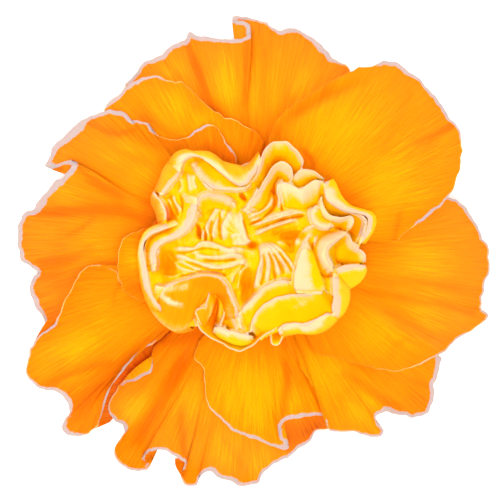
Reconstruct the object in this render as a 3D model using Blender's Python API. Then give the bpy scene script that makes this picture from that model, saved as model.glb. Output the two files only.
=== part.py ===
"""An open carnation flower, picked, standing face up on its cut stub and its lowest petals.

The flower's axis is +Z and the cut end's centre is the origin. Outlines are plan views in
millimetres, x right and y up as seen from straight above.
"""

import math

import bmesh
import bpy
import numpy as np

MM = 0.001

# Driving dimensions, all in millimetres
BLADE = 0.65  # thickness of a petal blade
GAP = 0.3  # clearance between neighbouring pieces
STEM_R = 2.6
RECEPTACLE_R = 5.3
RECEPTACLE_TOP = 8.3
CALYX_RIM_Z = 16.8
TOOTH_LENGTH = 4.0
CALYX_TEETH = 5
BRACTS = 4
CLAW_R = 5.5  # radius of the ring in which the guard petals' claws stand
CLAW_LEAN = 0.6  # how much nearer the axis a claw's foot is
CLAW_FOOT_Z = RECEPTACLE_TOP + 0.4
CLAW_WIDTH = 2.1
THROAT_Z = 20.0  # height at which the lowest petals leave the calyx
LAYER_STEP = 1.3  # how much higher each next layer of petals leaves it
SHOULDER = 4.5  # rise of a blade from the throat to its shoulder
SHOULDER_RUN = 5.0  # distance over which most of that rise happens
DROOP_FROM_R = 15.0  # distance from the axis at which a blade begins to droop
DROOP_RUN = 25.0
DROOP_POWER = 1.6
HEART_TOP = 44.0  # the highest standing edges of the inner petals
HEART_R = 20.0
HEART_FALL = 7.0  # how much lower the edges are at that radius
HEART_POWER = 2.2
CLAW_BORE = 3.0  # hollow inside the ring of inner claws, round the pistil
CORE_DEPTH = 3.4  # how far the heart's core lies below the folds' edges
CORE_STALK = ((CLAW_BORE, 17.0), (CLAW_BORE, CLAW_FOOT_Z), (4.0, CLAW_FOOT_Z), (4.1, THROAT_Z), (4.2, 29.2))
CORE_BORE_TOP = 18.5  # height of the hollow's pointed top
CORE_UNDER_R = (7.5, 10.0, 13.0, 15.5)  # radii at which the core's underside follows the guards
CORE_UNDER_LOW_Z = 24.0  # no part of that underside lies lower
CORE_FLANK_R = 16.6
CORE_FLANK_WAVES = ((7, 0.8, 0.0), (11, 0.4, 1.0))  # how many, how deep and turned how far
CORE_RIM_R = 17.8
CORE_RIM_Z = 34.8
CORE_TOP_R = (17.0, 14.0, 10.0, 5.0)  # radii at which the core's dome is set out

COLOURS = {
    "orange": (0.95, 0.33, 0.01),
    "yellow": (0.98, 0.66, 0.08),
    "green": (0.16, 0.30, 0.07),
    "pale_green": (0.42, 0.52, 0.22),
}

# A guard petal: the azimuth of its claw, its layer, how far its edge droops at 40 mm from the
# axis, and its outline as (x, y, lift), from one side of the claw round the edge to the other.
GUARDS = {
    "petal_top": (88, 0, 22.0, [
        (-3.5, 9, 0), (-9, 17, 0), (-16, 24.5, 0), (-22.9, 29, 0.5), (-20.7, 31.7, 0), (-19.6, 33.5, 0),
        (-16, 34.9, 0.6), (-15.1, 36.2, 0.6), (-12, 37.4, 0), (-11.2, 39, -0.8), (-10.3, 38.2, -0.6),
        (-7.6, 38, 0.4), (-4.9, 37.4, 1.4), (-3.4, 38.4, 1.8), (-3.6, 41.4, 0.4), (-1.3, 41.6, -0.6),
        (0.5, 41.2, -0.6), (2.3, 40.7, 0.6), (5, 39, 1.4), (7.2, 39.4, 0.6), (9.2, 38.9, 0),
        (12.2, 36.7, 0), (15.8, 33.3, 0), (17.6, 31.7, 0), (15, 24, 0), (9, 15, 0), (3.5, 9, 0)]),
    "petal_bottom_left": (248, 0, 22.0, [
        (-6.5, -8, 0), (-13, -14, 0), (-18, -18.5, 1.5), (-18.8, -21.4, 1.6), (-23.4, -24.3, 1),
        (-25.6, -27.4, 0), (-25.9, -29.2, 0), (-23.4, -31.9, 1), (-22.9, -33.5, 1.4), (-24.8, -36, 0),
        (-25, -37.4, -0.6), (-22, -40.1, -0.8), (-19.3, -40.3, 0), (-18.9, -36.9, 2.2),
        (-15.7, -36.4, 2.4), (-13.9, -37.4, 1.6), (-12.8, -40.9, 0), (-12, -42.7, -0.4),
        (-9.9, -42.7, -0.4), (-7.6, -40.1, 1.2), (-5.4, -41.6, 0.4), (-1.3, -43, -0.4),
        (1.1, -42.3, 0), (1.8, -40.5, 0.6), (5, -38.5, 0.6), (8.6, -37.3, 0.6), (10.4, -35.5, 0.6),
        (11.9, -33.1, 0.6), (7, -22, 0), (1.5, -12, 0), (-1.5, -8.5, 0)]),
    "petal_upper_left": (122, 1, 18.0, [
        (-8.5, 6.5, 0), (-16, 13, 0), (-22, 20, 0), (-26.5, 24.5, 0), (-24.1, 27.5, 0),
        (-22.9, 29, 0), (-18.4, 30.8, 0.6), (-15.7, 30.2, 1), (-12.6, 29.9, 0.4), (-8.5, 26.1, 0),
        (-4.9, 23.6, 0.4), (-0.9, 21.6, 0), (1.8, 19.4, 0), (1.5, 14, 0), (-0.5, 9, 0)]),
    "petal_bottom": (279, 1, 14.0, [
        (-3.6, -8.5, 0), (-8, -15, 0), (-10.3, -19.3, 0), (-8.8, -21.6, 0.5), (-8.5, -24.7, 0.6),
        (-8.1, -27.4, 0.4), (-4.9, -31.5, 0), (-2.2, -33.3, 0.4), (0.5, -34.2, 0.6),
        (3.2, -35.3, 0.2), (5.9, -36.4, -0.4), (5.2, -34.2, 1.2), (4.9, -32.8, 2),
        (5.9, -31, 2.6), (8.6, -30.4, 2.4), (11.3, -29.9, 1.6), (13.1, -30.2, 0.8),
        (11.5, -22, 0), (8, -14, 0), (4.5, -8.6, 0)]),
    "petal_left": (155, 2, 22.6, [
        (-4, 8.5, 0), (-3, 15.8, 0.4), (-4.9, 18.9, 0.8), (-7, 22.1, 1.2), (-9.9, 21.2, 0.6),
        (-13, 19.4, 0), (-16.6, 20, 0), (-18.7, 22.3, 0.4), (-22.9, 24.3, 0.8), (-26.5, 24.5, 0.4),
        (-31, 23, 0), (-34.6, 19.4, 0), (-36.7, 15.8, -0.6), (-37.1, 14.8, -0.8), (-33.2, 14.6, 1.6),
        (-34.2, 12.6, 1.4), (-36.7, 10.4, 0.6), (-39.4, 6.8, -0.4), (-41.8, 4.7, -0.5),
        (-42.3, 2.3, -0.6), (-41.9, -0.4, 0), (-40, -3.2, 1.4), (-38.5, -4.3, 1.6),
        (-40, -6.3, 0.6), (-40.1, -7.9, 0.2), (-38.2, -11.5, 0), (-36.4, -14.4, 0),
        (-28, -13, 0), (-18, -10, 0), (-9, -5.5, 0)]),
    "petal_bottom_right": (310, 2, 15.0, [
        (2, -9, 0), (6.5, -17.5, 0.4), (9.4, -22.7, 0.6), (11.9, -27, 0.6), (13.7, -31.9, 0.6),
        (15.8, -33.1, 0), (18.5, -33.1, 0), (22.5, -34, -0.6), (23.6, -32.4, 0), (22.3, -31, 1.4),
        (24.5, -29.3, 1.8), (29, -30.6, 0), (32, -28.8, -0.4), (32.8, -26.5, 0), (33.3, -22.9, 0.6),
        (33.5, -19.3, 0.4), (25, -15, 0), (16, -10.5, 0), (8.5, -6.5, 0)]),
    "petal_lower_left": (217, 3, 13.5, [
        (-9, -1.2, 0), (-17, -5.5, 0), (-22, -7.6, 0.4), (-24.3, -4.3, 0.8), (-27.4, -3.1, 0.4),
        (-30.4, -4, 0), (-33.5, -9.4, 0.6), (-36.4, -14.4, 0.2), (-39.4, -17.1, 0),
        (-40.3, -20.2, 0), (-40.3, -22.9, 0), (-37.3, -25.6, 1), (-34.2, -26.5, 1.6),
        (-32.8, -29.5, 1.2), (-34.2, -32, -0.6), (-33.7, -33.1, -1), (-30.1, -33.5, -1),
        (-27.9, -32.2, 0), (-26.8, -28.3, 1), (-24.1, -22.9, 1), (-20.2, -18.4, 0.6),
        (-16, -16, 0), (-11, -10.5, 0), (-7, -6, 0)]),
    "petal_right": (345, 3, 22.8, [
        (8.8, 2, 0), (16, 5.5, 0), (25, 8.5, 0), (35.1, 9.2, 0.6), (39.2, 6.3, 0), (41.4, 1.8, 0),
        (42.5, 0.5, 0), (42.8, -2.2, -0.6), (42.7, -4.9, -0.4), (41.4, -9.4, 0.8), (41.2, -11.3, 0.8),
        (42.5, -11.9, 0.6), (40.1, -14.6, 0), (35.3, -17.8, 0), (30.2, -20.9, 0.6),
        (25.7, -22, 1), (20.3, -21.1, 0.6), (14, -19.3, 0), (10.4, -15.8, 0), (8, -10, 0),
        (6.6, -6, 0)]),
    "petal_top_right": (35, 4, 17.5, [
        (1.8, 9, 0), (2.5, 15, 0), (4.1, 22.1, 0.4), (6.8, 25.2, 0.4), (10.4, 27.5, 0),
        (17.6, 31.7, 0), (22.7, 33.1, 0.6), (26.6, 32.9, 0.4), (31.7, 28.8, 0), (35.6, 23.4, 0),
        (37.3, 21.2, 0.4), (37.6, 17.6, 0.4), (37.3, 14.9, 0), (36.2, 10.4, 0), (33.8, 7.7, 0.4),
        (28.4, 3.6, 0.8), (24.5, 0.9, 0.4), (17, 0.5, 0), (9, 0.8, 0)]),
    "petal_inner_left": (186, 4, 9.0, [
        (-8.5, 2.2, 0), (-16.3, 5, 0), (-20, 3.2, 0), (-23, 1.6, 0.4), (-23.7, -1.5, 0),
        (-23.6, -5, 0.3), (-21.8, -8, 0), (-18.5, -8.6, 0), (-13.5, -5.6, 0), (-8.6, -2.6, 0)]),
}
BLADE_ROWS = (0.12, 0.28, 0.48, 0.7, 0.87, 1.0)  # shares of the way from the claw to the edge
STEEPEST = 1.6  # slope past which a blade isn't thickened any more
LAY_GAP = 0.5  # a blade's height above the one below it, where they would meet
LAY_ROUNDS = 3

# A fold of the heart: its standing edge and the line its face runs down to, both in plan, the
# edge's lift above the heart's dome, and the face's drop.
FOLDS = {
    "collar_left": (0.0, 4.6, [
        (-13, 4.2), (-16, 3.2), (-18.6, 1.8), (-19.4, -0.5), (-18.9, -4), (-18, -8), (-15.8, -10.6),
        (-12.5, -11.2)], [
        (-14, 5.4), (-17, 4.2), (-19.7, 2), (-20.3, -1.5), (-20, -5), (-18.7, -9.8), (-16, -13.5),
        (-10.8, -14.8)]),
    "collar_left_face": (-0.2, 3.2, [(-13, 4.4), (-15.5, 3.5), (-18, 2.2)],
                         [(-11, 2.8), (-13.5, 1), (-16.5, 0)]),
    "ridge_left": (0.6, 4.0, [
        (-9.8, 8.8), (-9.9, 6.8), (-10.8, 4), (-13, 2), (-16, 0.5), (-17, -1), (-17.2, -4)], [
        (-12.2, 9.5), (-12.2, 6.6), (-13.2, 5), (-15, 3.4), (-17.6, 2), (-18.6, -0.5), (-18.6, -4)]),
    "hollow_left": (0.2, 5.5, [(-15, 1), (-16.8, -1), (-17, -4), (-16.2, -6.4)],
                    [(-13, -0.8), (-13.8, -2), (-13.9, -3.5), (-13.4, -4.6)]),
    "ridge_upper": (0.4, 3.4, [
        (-9.9, 7), (-9.6, 8.8), (-8.5, 9.6), (-6.5, 9.5), (-4.5, 8.8), (-3, 7.8)],
        [(-8.6, 6), (-8, 6.8), (-7, 7.2), (-6, 7), (-5, 7), (-4.2, 6.6)]),
    "collar_upper": (-0.4, 5.0, [
        (-12.8, 13.8), (-11.3, 16), (-9, 16.1), (-7.3, 15), (-5.3, 13), (-2.8, 11.1), (-0.8, 11.4),
        (0.6, 13.4), (1.4, 15.6)], [
        (-15.6, 13), (-13.4, 17), (-9.8, 17.4), (-7, 17), (-5, 15.4), (-2.4, 14.9), (-1, 14.9),
        (0.3, 16), (1.2, 17)]),
    "collar_upper_side": (-1.0, 5.0, [(-16, 9.6), (-14, 11.5), (-12.6, 13.6)],
                          [(-17.4, 10), (-16, 13), (-14.8, 15.4)]),
    "fold_upper": (0.4, 3.6, [
        (-10.4, 14.6), (-9.2, 12.8), (-7.8, 11.2), (-5.5, 10.5), (-2.6, 10.3), (-0.6, 11)], [
        (-9.6, 16.4), (-8.2, 15.6), (-6.2, 14.2), (-4.2, 12.6), (-2.4, 11.6), (-0.6, 12.2)]),
    "lobe_top": (-0.3, 3.8, [
        (0.2, 12.2), (1.6, 15.2), (2.6, 18), (5, 19), (7.5, 17.9), (9, 15.8), (8.6, 14)], [
        (1.4, 10.6), (2.9, 13.2), (4.2, 14.2), (5.4, 14.4), (6.6, 14), (7.6, 12.8), (7.6, 12)]),
    "ridge_top": (0.8, 3.5, [
        (-1.5, 6.8), (-0.3, 7.6), (0.6, 9), (2.6, 12.6), (4.2, 14.8), (6, 14.9), (7.2, 12.8),
        (6.6, 11.6)], [
        (0.8, 6.6), (1.6, 7.2), (2.4, 8.4), (3.8, 11.4), (4.6, 12.8), (5.4, 12.6), (5.8, 11.8),
        (5.6, 10.8)]),
    "lobe_upper_right": (-0.2, 3.4, [(7.2, 12), (8.5, 13.7), (10.5, 13.7), (12.9, 12.3)],
                         [(7.8, 10.4), (9.3, 10.9), (10.8, 11.4), (12.6, 11.2)]),
    "face_upper_right": (0.6, 3.0, [
        (4.4, 11.2), (6.5, 11.6), (8.6, 10.4), (10.5, 11.7), (12.8, 12)],
        [(5.4, 7.6), (7.2, 7.2), (9.2, 7.2), (11.4, 7.6), (12.4, 8.6)]),
    "collar_right": (0.2, 4.6, [
        (12.8, 11.6), (13.4, 8.6), (16, 6.8), (19.2, 6.2), (21.3, 5.5), (21.4, 3.8), (19.5, 1)], [
        (14.6, 12.3), (15.8, 9.4), (17.8, 7.4), (20.4, 6.6), (22, 5.4), (21.9, 3.4), (20.2, 0.8)]),
    "collar_right_face": (0.0, 3.6, [
        (12.9, 11), (13.5, 8.8), (16, 7), (19.2, 6.4), (21, 5), (20.6, 3), (19.2, 1)], [
        (12, 8.6), (12.8, 6.6), (15.4, 5), (17.4, 4.6), (17.6, 4), (17.4, 3), (17, 2)]),
    "fold_right": (0.7, 2.8, [
        (12.4, 9.2), (13, 6.7), (15, 5.6), (17.6, 5.6), (18, 4.8), (17.4, 3.3)],
        [(11.4, 7.4), (11.8, 5.4), (14.2, 4), (15.6, 3.6), (15.8, 3), (15.6, 2)]),
    "tongue_right": (0.6, 2.6, [(11.2, 7.6), (10.2, 5.8), (11.5, 4.1), (13.4, 3.5), (14.5, 3.9)],
                     [(13, 7), (12.4, 5.6), (13, 5), (13.8, 4.8), (14.6, 5.2)]),
    "ridge_right": (1.0, 3.2, [
        (17, 2.8), (15, 1.5), (13.5, 0.5), (13.1, -1), (13.6, -2.5), (14.3, -4)],
        [(14, 3.4), (12.6, 2), (11.4, 0.6), (11.4, -1.8), (12, -3.4), (12.8, -4.8)]),
    "shell_right": (0.8, 3.2, [
        (17.2, 2.6), (18.5, 0), (20, -1), (20.3, -2.4)],
        [(15, 0.4), (15.4, -2), (16.2, -3.4), (17.8, -3.6)]),
    "collar_far_right": (0.0, 4.8, [(14.6, -4), (16, -3.2), (18.5, -2.9), (20.1, -2.9)],
                         [(15.6, -7), (17, -7.8), (19.2, -6.2), (20.5, -4)]),
    "collar_lower_right": (0.4, 5.2, [
        (14.4, -4.5), (14.4, -6.4), (14.5, -8.4), (14.3, -10.4), (14.4, -11.8)],
        [(16.8, -5.4), (17.3, -7.6), (17.4, -9.4), (16.8, -11), (15.7, -12.6)]),
    "collar_bottom": (0.0, 5.2, [
        (4.6, -14.4), (6, -13.5), (8.5, -13.4), (11.5, -12.5), (14.3, -11.9)],
        [(5.2, -16.4), (7.2, -15.5), (9.4, -15.3), (12.8, -14.8), (15.4, -12.8)]),
    "tab": (-1.2, 3.0, [(3.3, -15.6), (3.6, -17.1), (4.6, -17.3), (5.3, -16.2)],
            [(4, -14.2), (4.4, -14.6), (4.9, -14.6), (5.4, -14.2)]),
    "bowl": (0.6, 4.6, [
        (-0.2, -15.5), (0.1, -12.5), (2, -10.2), (5, -8.6), (9, -8.1), (12.3, -7), (13.4, -8)], [
        (1.8, -16.8), (3, -15.4), (5.4, -14.6), (8, -14.2), (11.4, -13.4), (14.4, -11.6),
        (15, -9.4)]),
    "fold_lower": (1.0, 3.6, [(-2.4, -11.6), (0, -9.2), (2.2, -6.9), (4.8, -5.9), (7.4, -6.2)],
                   [(-1.4, -15), (0.6, -12.4), (3, -9.8), (5.6, -9), (8.6, -8.6)]),
    "pleat_one": (0.8, 2.6, [(1, 0.8), (2.5, -0.4), (3.3, -2), (3.9, -4.3), (4.4, -6)],
                  [(0.9, 0.2), (1.5, -1.4), (1.2, -3.6), (0.7, -5.4), (0.4, -7.8)]),
    "pleat_two": (0.7, 2.6, [(1.6, 1), (3.5, -0.5), (4.7, -2.5), (6, -4.5), (7, -6)],
                  [(2.2, 0), (3.2, -1.6), (4, -3.4), (4.9, -5), (5.6, -6.6)]),
    "pleat_three": (0.5, 2.6, [(2.5, 1.3), (4.5, -0.3), (6, -2), (7.6, -3.9)],
                    [(3, 0.4), (4.4, -1.4), (5.8, -3), (7, -4.8)]),
    "tongue_lower_right": (1.1, 2.8, [
        (9.5, 0.6), (8.4, -1.3), (7.7, -4), (7.5, -6.5), (8, -8)],
        [(10.6, -0.4), (11.2, -2), (12, -4.6), (12.8, -6.6), (12.6, -8)]),
    "tongue_right_of_centre": (0.6, 2.8, [
        (11.3, 4), (9.5, 3.2), (7.6, 2), (7.8, 0.4), (8.4, -1.2)],
        [(11.2, 2.4), (10.6, 1.8), (10.2, 1.4), (10.2, 0.4), (10.4, -1)]),
    "pleat_upper_one": (0.6, 2.4, [(0.3, 2.8), (3, 3.9), (5, 4.5), (8.2, 5)],
                        [(0.8, 1.8), (3, 2.4), (5.4, 3.2), (8.4, 3.8)]),
    "pleat_upper_two": (0.9, 2.0, [(0, 4), (3.5, 5.1), (7, 6.2), (10, 6.4)],
                        [(0.6, 3.2), (3.8, 4.2), (7.4, 5.2), (10.2, 5.4)]),
    "pleat_upper_three": (0.9, 2.0, [(-1, 4.5), (1, 5.5), (2.6, 7), (4.2, 9)],
                          [(-0.2, 3.8), (1.8, 4.8), (3.6, 6.2), (5, 8)]),
    "tongue_centre": (1.0, 3.0, [(-3.2, 7.3), (-1.5, 6.2), (-1.6, 4.4), (-0.8, 2.8), (-0.5, 0.9)],
                      [(-5, 7.4), (-5.2, 5.6), (-5.4, 4), (-5.2, 2.4), (-4.4, 0.9)]),
    "pleat_left_one": (0.6, 2.4, [(-5.5, 7), (-6.3, 4.4), (-6.4, 2.6), (-6.1, 1)],
                       [(-6.6, 6.8), (-7.6, 4.4), (-7.8, 2.6), (-7.4, 1)]),
    "pleat_left_two": (0.6, 2.6, [(-6.6, 7.2), (-8, 4.2), (-8.6, 2.6), (-9, 1.4)],
                       [(-8.8, 7), (-9.6, 4.4), (-9.9, 2.8), (-10, 1.6)]),
    "band_left": (0.7, 4.2, [
        (-14.5, -0.2), (-11.5, 0), (-9.6, 0.7), (-8, 1.1), (-5.5, 0.3), (-3.5, 0), (-1.4, 0),
        (-0.4, -1)], [
        (-14, -4.4), (-12, -5.4), (-9.6, -5.2), (-7.6, -5), (-5.4, -5.4), (-3.8, -5.6), (-2.4, -6),
        (-1, -6.4)]),
    "collar_lower_left": (0.3, 4.6, [
        (-17, -6.7), (-14.8, -6.5), (-11.5, -5.3), (-8, -4.6), (-5.4, -5.3), (-3.8, -7.6),
        (-2.6, -11), (-1.9, -14)], [
        (-18.2, -9.4), (-16.2, -13), (-12.4, -14.8), (-10, -10.6), (-7, -8.2), (-5.2, -9.6),
        (-4.8, -12), (-4.4, -14.4)]),
    "frill_low": (-0.2, 3.4, [(-10, -11.6), (-9.4, -10.6), (-8.1, -10), (-7.6, -8), (-6.7, -7.1)],
                  [(-8.6, -14.6), (-7.8, -13), (-7.2, -11.6), (-6.9, -9.8), (-6.4, -8.8)]),
    "rib_low": (0.2, 3.0, [(-5.9, -8.2), (-5.2, -9.6), (-5.4, -12), (-6, -14)],
                [(-6.6, -9), (-6.2, -10.6), (-6.4, -12.6), (-7.2, -14)]),
    "lobe_bottom": (-0.8, 4.0, [
        (-10, -11.4), (-9.6, -14), (-8, -15.5), (-5, -17.2), (-2.5, -18.3), (0.3, -17.2),
        (2.6, -15.4), (5, -14)], [
        (-7.6, -11.6), (-7, -13.6), (-6.2, -14.4), (-4.6, -15), (-2.4, -15.6), (0, -15.2),
        (1.8, -13.6), (4, -12.6)]),
    "band_bottom": (0.4, 3.0, [(-6.2, -13.8), (-5, -14.2), (-2.5, -15.1), (-0.1, -15.6)],
                    [(-7, -14.8), (-5, -16), (-2.4, -17.1), (0.6, -16.6)]),
}
FOLD_COLUMNS = 7
TURNED_SIDES = 18
CORE_SIDES = 28
TOOTH_SIDES = 8
NOTCH_DEPTH = 0.95  # share of a tooth's length that the rim dips between two teeth
FOLD_ROWS = ((0.0, 0.0), (0.45, 0.6), (1.0, 1.0))  # shares of the way out and down
ROOT_SHARE = 0.84  # a fold's root lies this share of its foot's distance from the axis
ROOT_LOW_Z = 34.3  # no root lies lower than this, just above the core's underside


def smooth_path(points, count):
    """Evenly spaced points on a smooth curve through the given ones."""
    p = np.array(points, float)
    p = np.vstack([2 * p[0] - p[1], p, 2 * p[-1] - p[-2]])
    dense = []
    for i in range(1, len(p) - 2):
        for t in np.linspace(0, 1, 12, endpoint=False):
            a, b, c, d = p[i - 1:i + 3]
            dense.append(0.5 * (2 * b + (c - a) * t + (2 * a - 5 * b + 4 * c - d) * t * t
                                + (3 * b - a - 3 * c + d) * t ** 3))
    dense = np.array(dense + [p[-2]])
    run = np.concatenate([[0], np.cumsum(np.linalg.norm(np.diff(dense, axis=0), axis=1))])
    at = np.linspace(0, run[-1], count)
    return np.stack([np.interp(at, run, dense[:, k]) for k in range(dense.shape[1])], axis=1)


def add_object(name, verts, faces, colour):
    """A closed mesh, given in millimetres, as one object with its own material."""
    mesh = bpy.data.meshes.new(name)
    mesh.from_pydata([tuple(c * MM for c in v) for v in verts], [], faces)
    bm = bmesh.new()
    bm.from_mesh(mesh)
    bmesh.ops.recalc_face_normals(bm, faces=bm.faces)
    if bm.calc_volume(signed=True) < 0:
        bmesh.ops.reverse_faces(bm, faces=bm.faces)
    bm.to_mesh(mesh)
    bm.free()
    mesh.shade_smooth()
    material = bpy.data.materials.get(colour) or bpy.data.materials.new(colour)
    material.use_nodes = True
    shader = material.node_tree.nodes["Principled BSDF"]
    shader.inputs["Base Color"].default_value = (*COLOURS[colour], 1)
    shader.inputs["Roughness"].default_value = 0.6
    shader.inputs["Metallic"].default_value = 0
    mesh.materials.append(material)
    obj = bpy.data.objects.new(name, mesh)
    bpy.context.collection.objects.link(obj)
    return obj


def slab(inner, outer):
    """Vertices and faces of a closed sheet between two grids with the same triangles."""
    rows, cols = inner.shape[:2]
    verts = [tuple(v) for v in inner.reshape(-1, 3)] + [tuple(v) for v in outer.reshape(-1, 3)]
    back = rows * cols
    faces = []
    for i in range(rows - 1):
        for j in range(cols - 1):
            a, b, c, d = i * cols + j, i * cols + j + 1, (i + 1) * cols + j + 1, (i + 1) * cols + j
            faces += [(a, b, c), (a, c, d), (back + a, back + c, back + b), (back + a, back + d, back + c)]
    ring = [j for j in range(cols)]
    ring += [i * cols + cols - 1 for i in range(1, rows)]
    ring += [(rows - 1) * cols + j for j in range(cols - 2, -1, -1)]
    ring += [i * cols for i in range(rows - 2, 0, -1)]
    for k, a in enumerate(ring):
        b = ring[(k + 1) % len(ring)]
        faces += [(a, back + a, back + b), (a, back + b, b)]
    return verts, faces


def lathe(profile):
    """A closed turned body. The profile runs up the outside; points on the axis close it."""
    verts, rings = [], []
    for r, z in profile:
        if r == 0:
            rings.append([len(verts)])
            verts.append((0, 0, z))
            continue
        rings.append(list(range(len(verts), len(verts) + TURNED_SIDES)))
        for k in range(TURNED_SIDES):
            a = 2 * math.pi * k / TURNED_SIDES
            verts.append((r * math.cos(a), r * math.sin(a), z))
    faces = []
    for low, high in zip(rings, rings[1:]):
        for k in range(TURNED_SIDES):
            n = (k + 1) % TURNED_SIDES
            if len(low) == 1:
                faces.append((low[0], high[k], high[n]))
            elif len(high) == 1:
                faces.append((low[k], low[n], high[0]))
            else:
                faces.append((low[k], low[n], high[n], high[k]))
    return verts, faces


class Ground:
    """The height of what lies below, kept on a fine plan grid, for laying petals on petals."""

    cell = 0.5
    half = 110

    def __init__(self):
        side = 2 * self.half + 1
        self.top = np.full((side, side), -100.0)

    def add(self, grid):
        """Raises the ground to a petal's upper face."""
        rows, cols = grid.shape[:2]
        for i in range(rows - 1):
            for j in range(cols - 1):
                a, b, c, d = grid[i, j], grid[i, j + 1], grid[i + 1, j + 1], grid[i + 1, j]
                for tri in ((a, b, c), (a, c, d)):
                    self.fill(np.array(tri))

    def fill(self, tri):
        flat = tri[:, :2] / self.cell + self.half
        lo = np.floor(flat.min(0)).astype(int) - 1
        hi = np.ceil(flat.max(0)).astype(int) + 1
        xs, ys = np.meshgrid(np.arange(lo[0], hi[0] + 1), np.arange(lo[1], hi[1] + 1), indexing="ij")
        (ax, ay), (bx, by), (cx, cy) = flat
        area = (bx - ax) * (cy - ay) - (cx - ax) * (by - ay)
        if abs(area) < 1e-9:
            return
        u = ((bx - xs) * (cy - ys) - (cx - xs) * (by - ys)) / area
        v = ((cx - xs) * (ay - ys) - (ax - xs) * (cy - ys)) / area
        w = 1 - u - v
        margin = 1.0 / max(abs(area) ** 0.5, 0.5)
        inside = (u > -margin) & (v > -margin) & (w > -margin)
        z = np.clip(u, 0, 1) * tri[0, 2] + np.clip(v, 0, 1) * tri[1, 2] + np.clip(w, 0, 1) * tri[2, 2]
        z = np.minimum(z, tri[:, 2].max())
        ix, iy = xs[inside], ys[inside]
        np.maximum.at(self.top, (ix, iy), z[inside])

    def under(self, points):
        """The highest ground within one cell of each plan point."""
        at = np.rint(points[..., :2] / self.cell).astype(int) + self.half
        best = np.full(at.shape[:-1], -100.0)
        for dx in (-1, 0, 1):
            for dy in (-1, 0, 1):
                best = np.maximum(best, self.top[at[..., 0] + dx, at[..., 1] + dy])
        return best


def spread(lift):
    """Each grid point's lift is shared with its neighbours, so that a blade bends and doesn't kink."""
    wide = lift.copy()
    for axis in (0, 1):
        for step in (1, -1):
            moved = np.roll(wide, step, axis)
            edge = 0 if step == 1 else -1
            if axis == 0:
                moved[edge] = wide[edge]
            else:
                moved[:, edge] = wide[:, edge]
            wide = np.maximum(wide, 0.75 * moved)
    return np.maximum(lift, wide)


def guard_height(r, layer, droop):
    """How high a guard petal lies at a distance from the axis."""
    rise = SHOULDER * (1 - np.exp(-np.maximum(r - CLAW_R, 0) / SHOULDER_RUN))
    fall = droop * np.maximum((r - DROOP_FROM_R) / DROOP_RUN, 0) ** DROOP_POWER
    return THROAT_Z + layer * LAYER_STEP + rise - fall


def guard_petal(azimuth, layer, droop, outline, ground):
    """The upper and lower grids of one guard petal, laid on what is below it."""
    edge = np.array(outline, float)
    count = len(edge)
    a = math.radians(azimuth)
    out = np.array([math.cos(a), math.sin(a)])
    along = np.array([-out[1], out[0]])
    turn = np.sign(np.dot(edge[-1, :2] - edge[0, :2], along))
    share = np.linspace(-0.5, 0.5, count)[:, None] * turn
    top_z = guard_height(CLAW_R, layer, droop)
    foot = out * (CLAW_R - CLAW_LEAN) + share * along * CLAW_WIDTH * 0.8
    neck = out * CLAW_R + share * along * CLAW_WIDTH
    rows = [np.column_stack([foot, np.full(count, CLAW_FOOT_Z)]),
            np.column_stack([neck, np.full(count, top_z)])]
    for s in BLADE_ROWS:
        plan = neck + s * (edge[:, :2] - neck)
        z = guard_height(np.linalg.norm(plan, axis=1), layer, droop) + edge[:, 2] * s * s
        rows.append(np.column_stack([plan, z]))
    lower = np.array(rows)
    blade = lower[2:]
    run = np.linalg.norm(np.gradient(blade[..., :2], axis=0), axis=2)
    slope = np.gradient(blade[..., 2], axis=0) / np.maximum(run, GAP)
    thickness = BLADE * np.sqrt(1 + np.clip(slope, -STEEPEST, STEEPEST) ** 2)
    for _ in range(LAY_ROUNDS):
        need = np.maximum(ground.under(blade) + LAY_GAP - blade[..., 2], 0)
        blade[..., 2] += spread(spread(need))
    blade[..., 2] = np.maximum(blade[..., 2], 0)
    upper = lower.copy()
    upper[:2, :, :2] -= out * BLADE
    upper[2, :, :2] -= out * BLADE * 0.3
    upper[2:, :, 2] += thickness
    return upper, lower


def make_guards():
    """All guard petals, from the lowest layer up. Returns the ground that they make."""
    ground = Ground()
    for name, (azimuth, layer, droop, outline) in GUARDS.items():
        upper, lower = guard_petal(azimuth, layer, droop, outline, ground)
        ground.add(upper[2:])
        add_object(name, *slab(upper, lower), "orange")
    return ground


def dome(r):
    """The height that the heart's standing edges reach, by distance from the axis."""
    return HEART_TOP - HEART_FALL * (r / HEART_R) ** HEART_POWER


def fold_sheet(lift, drop, edge, foot):
    """One fold of the heart as a closed blade, its lower row sunk into the core."""
    top, low = smooth_path(edge, FOLD_COLUMNS), smooth_path(foot, FOLD_COLUMNS)
    rows = []
    for out, down in FOLD_ROWS:
        plan = top + out * (low - top)
        z = dome(np.linalg.norm(top, axis=1)) + lift - drop * down
        rows.append(np.column_stack([plan, z]))
    root = low * ROOT_SHARE
    inside = dome(np.linalg.norm(root, axis=1)) - CORE_DEPTH - 1
    rows.append(np.column_stack([root, np.maximum(np.minimum(z - 1, inside), ROOT_LOW_Z)]))
    middle = np.array(rows)
    across = np.gradient(middle, axis=1)
    downward = np.gradient(middle, axis=0)
    normal = np.cross(across, downward)
    normal /= np.maximum(np.linalg.norm(normal, axis=2, keepdims=True), 1e-6)
    return slab(middle + normal * BLADE / 2, middle - normal * BLADE / 2)


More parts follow.
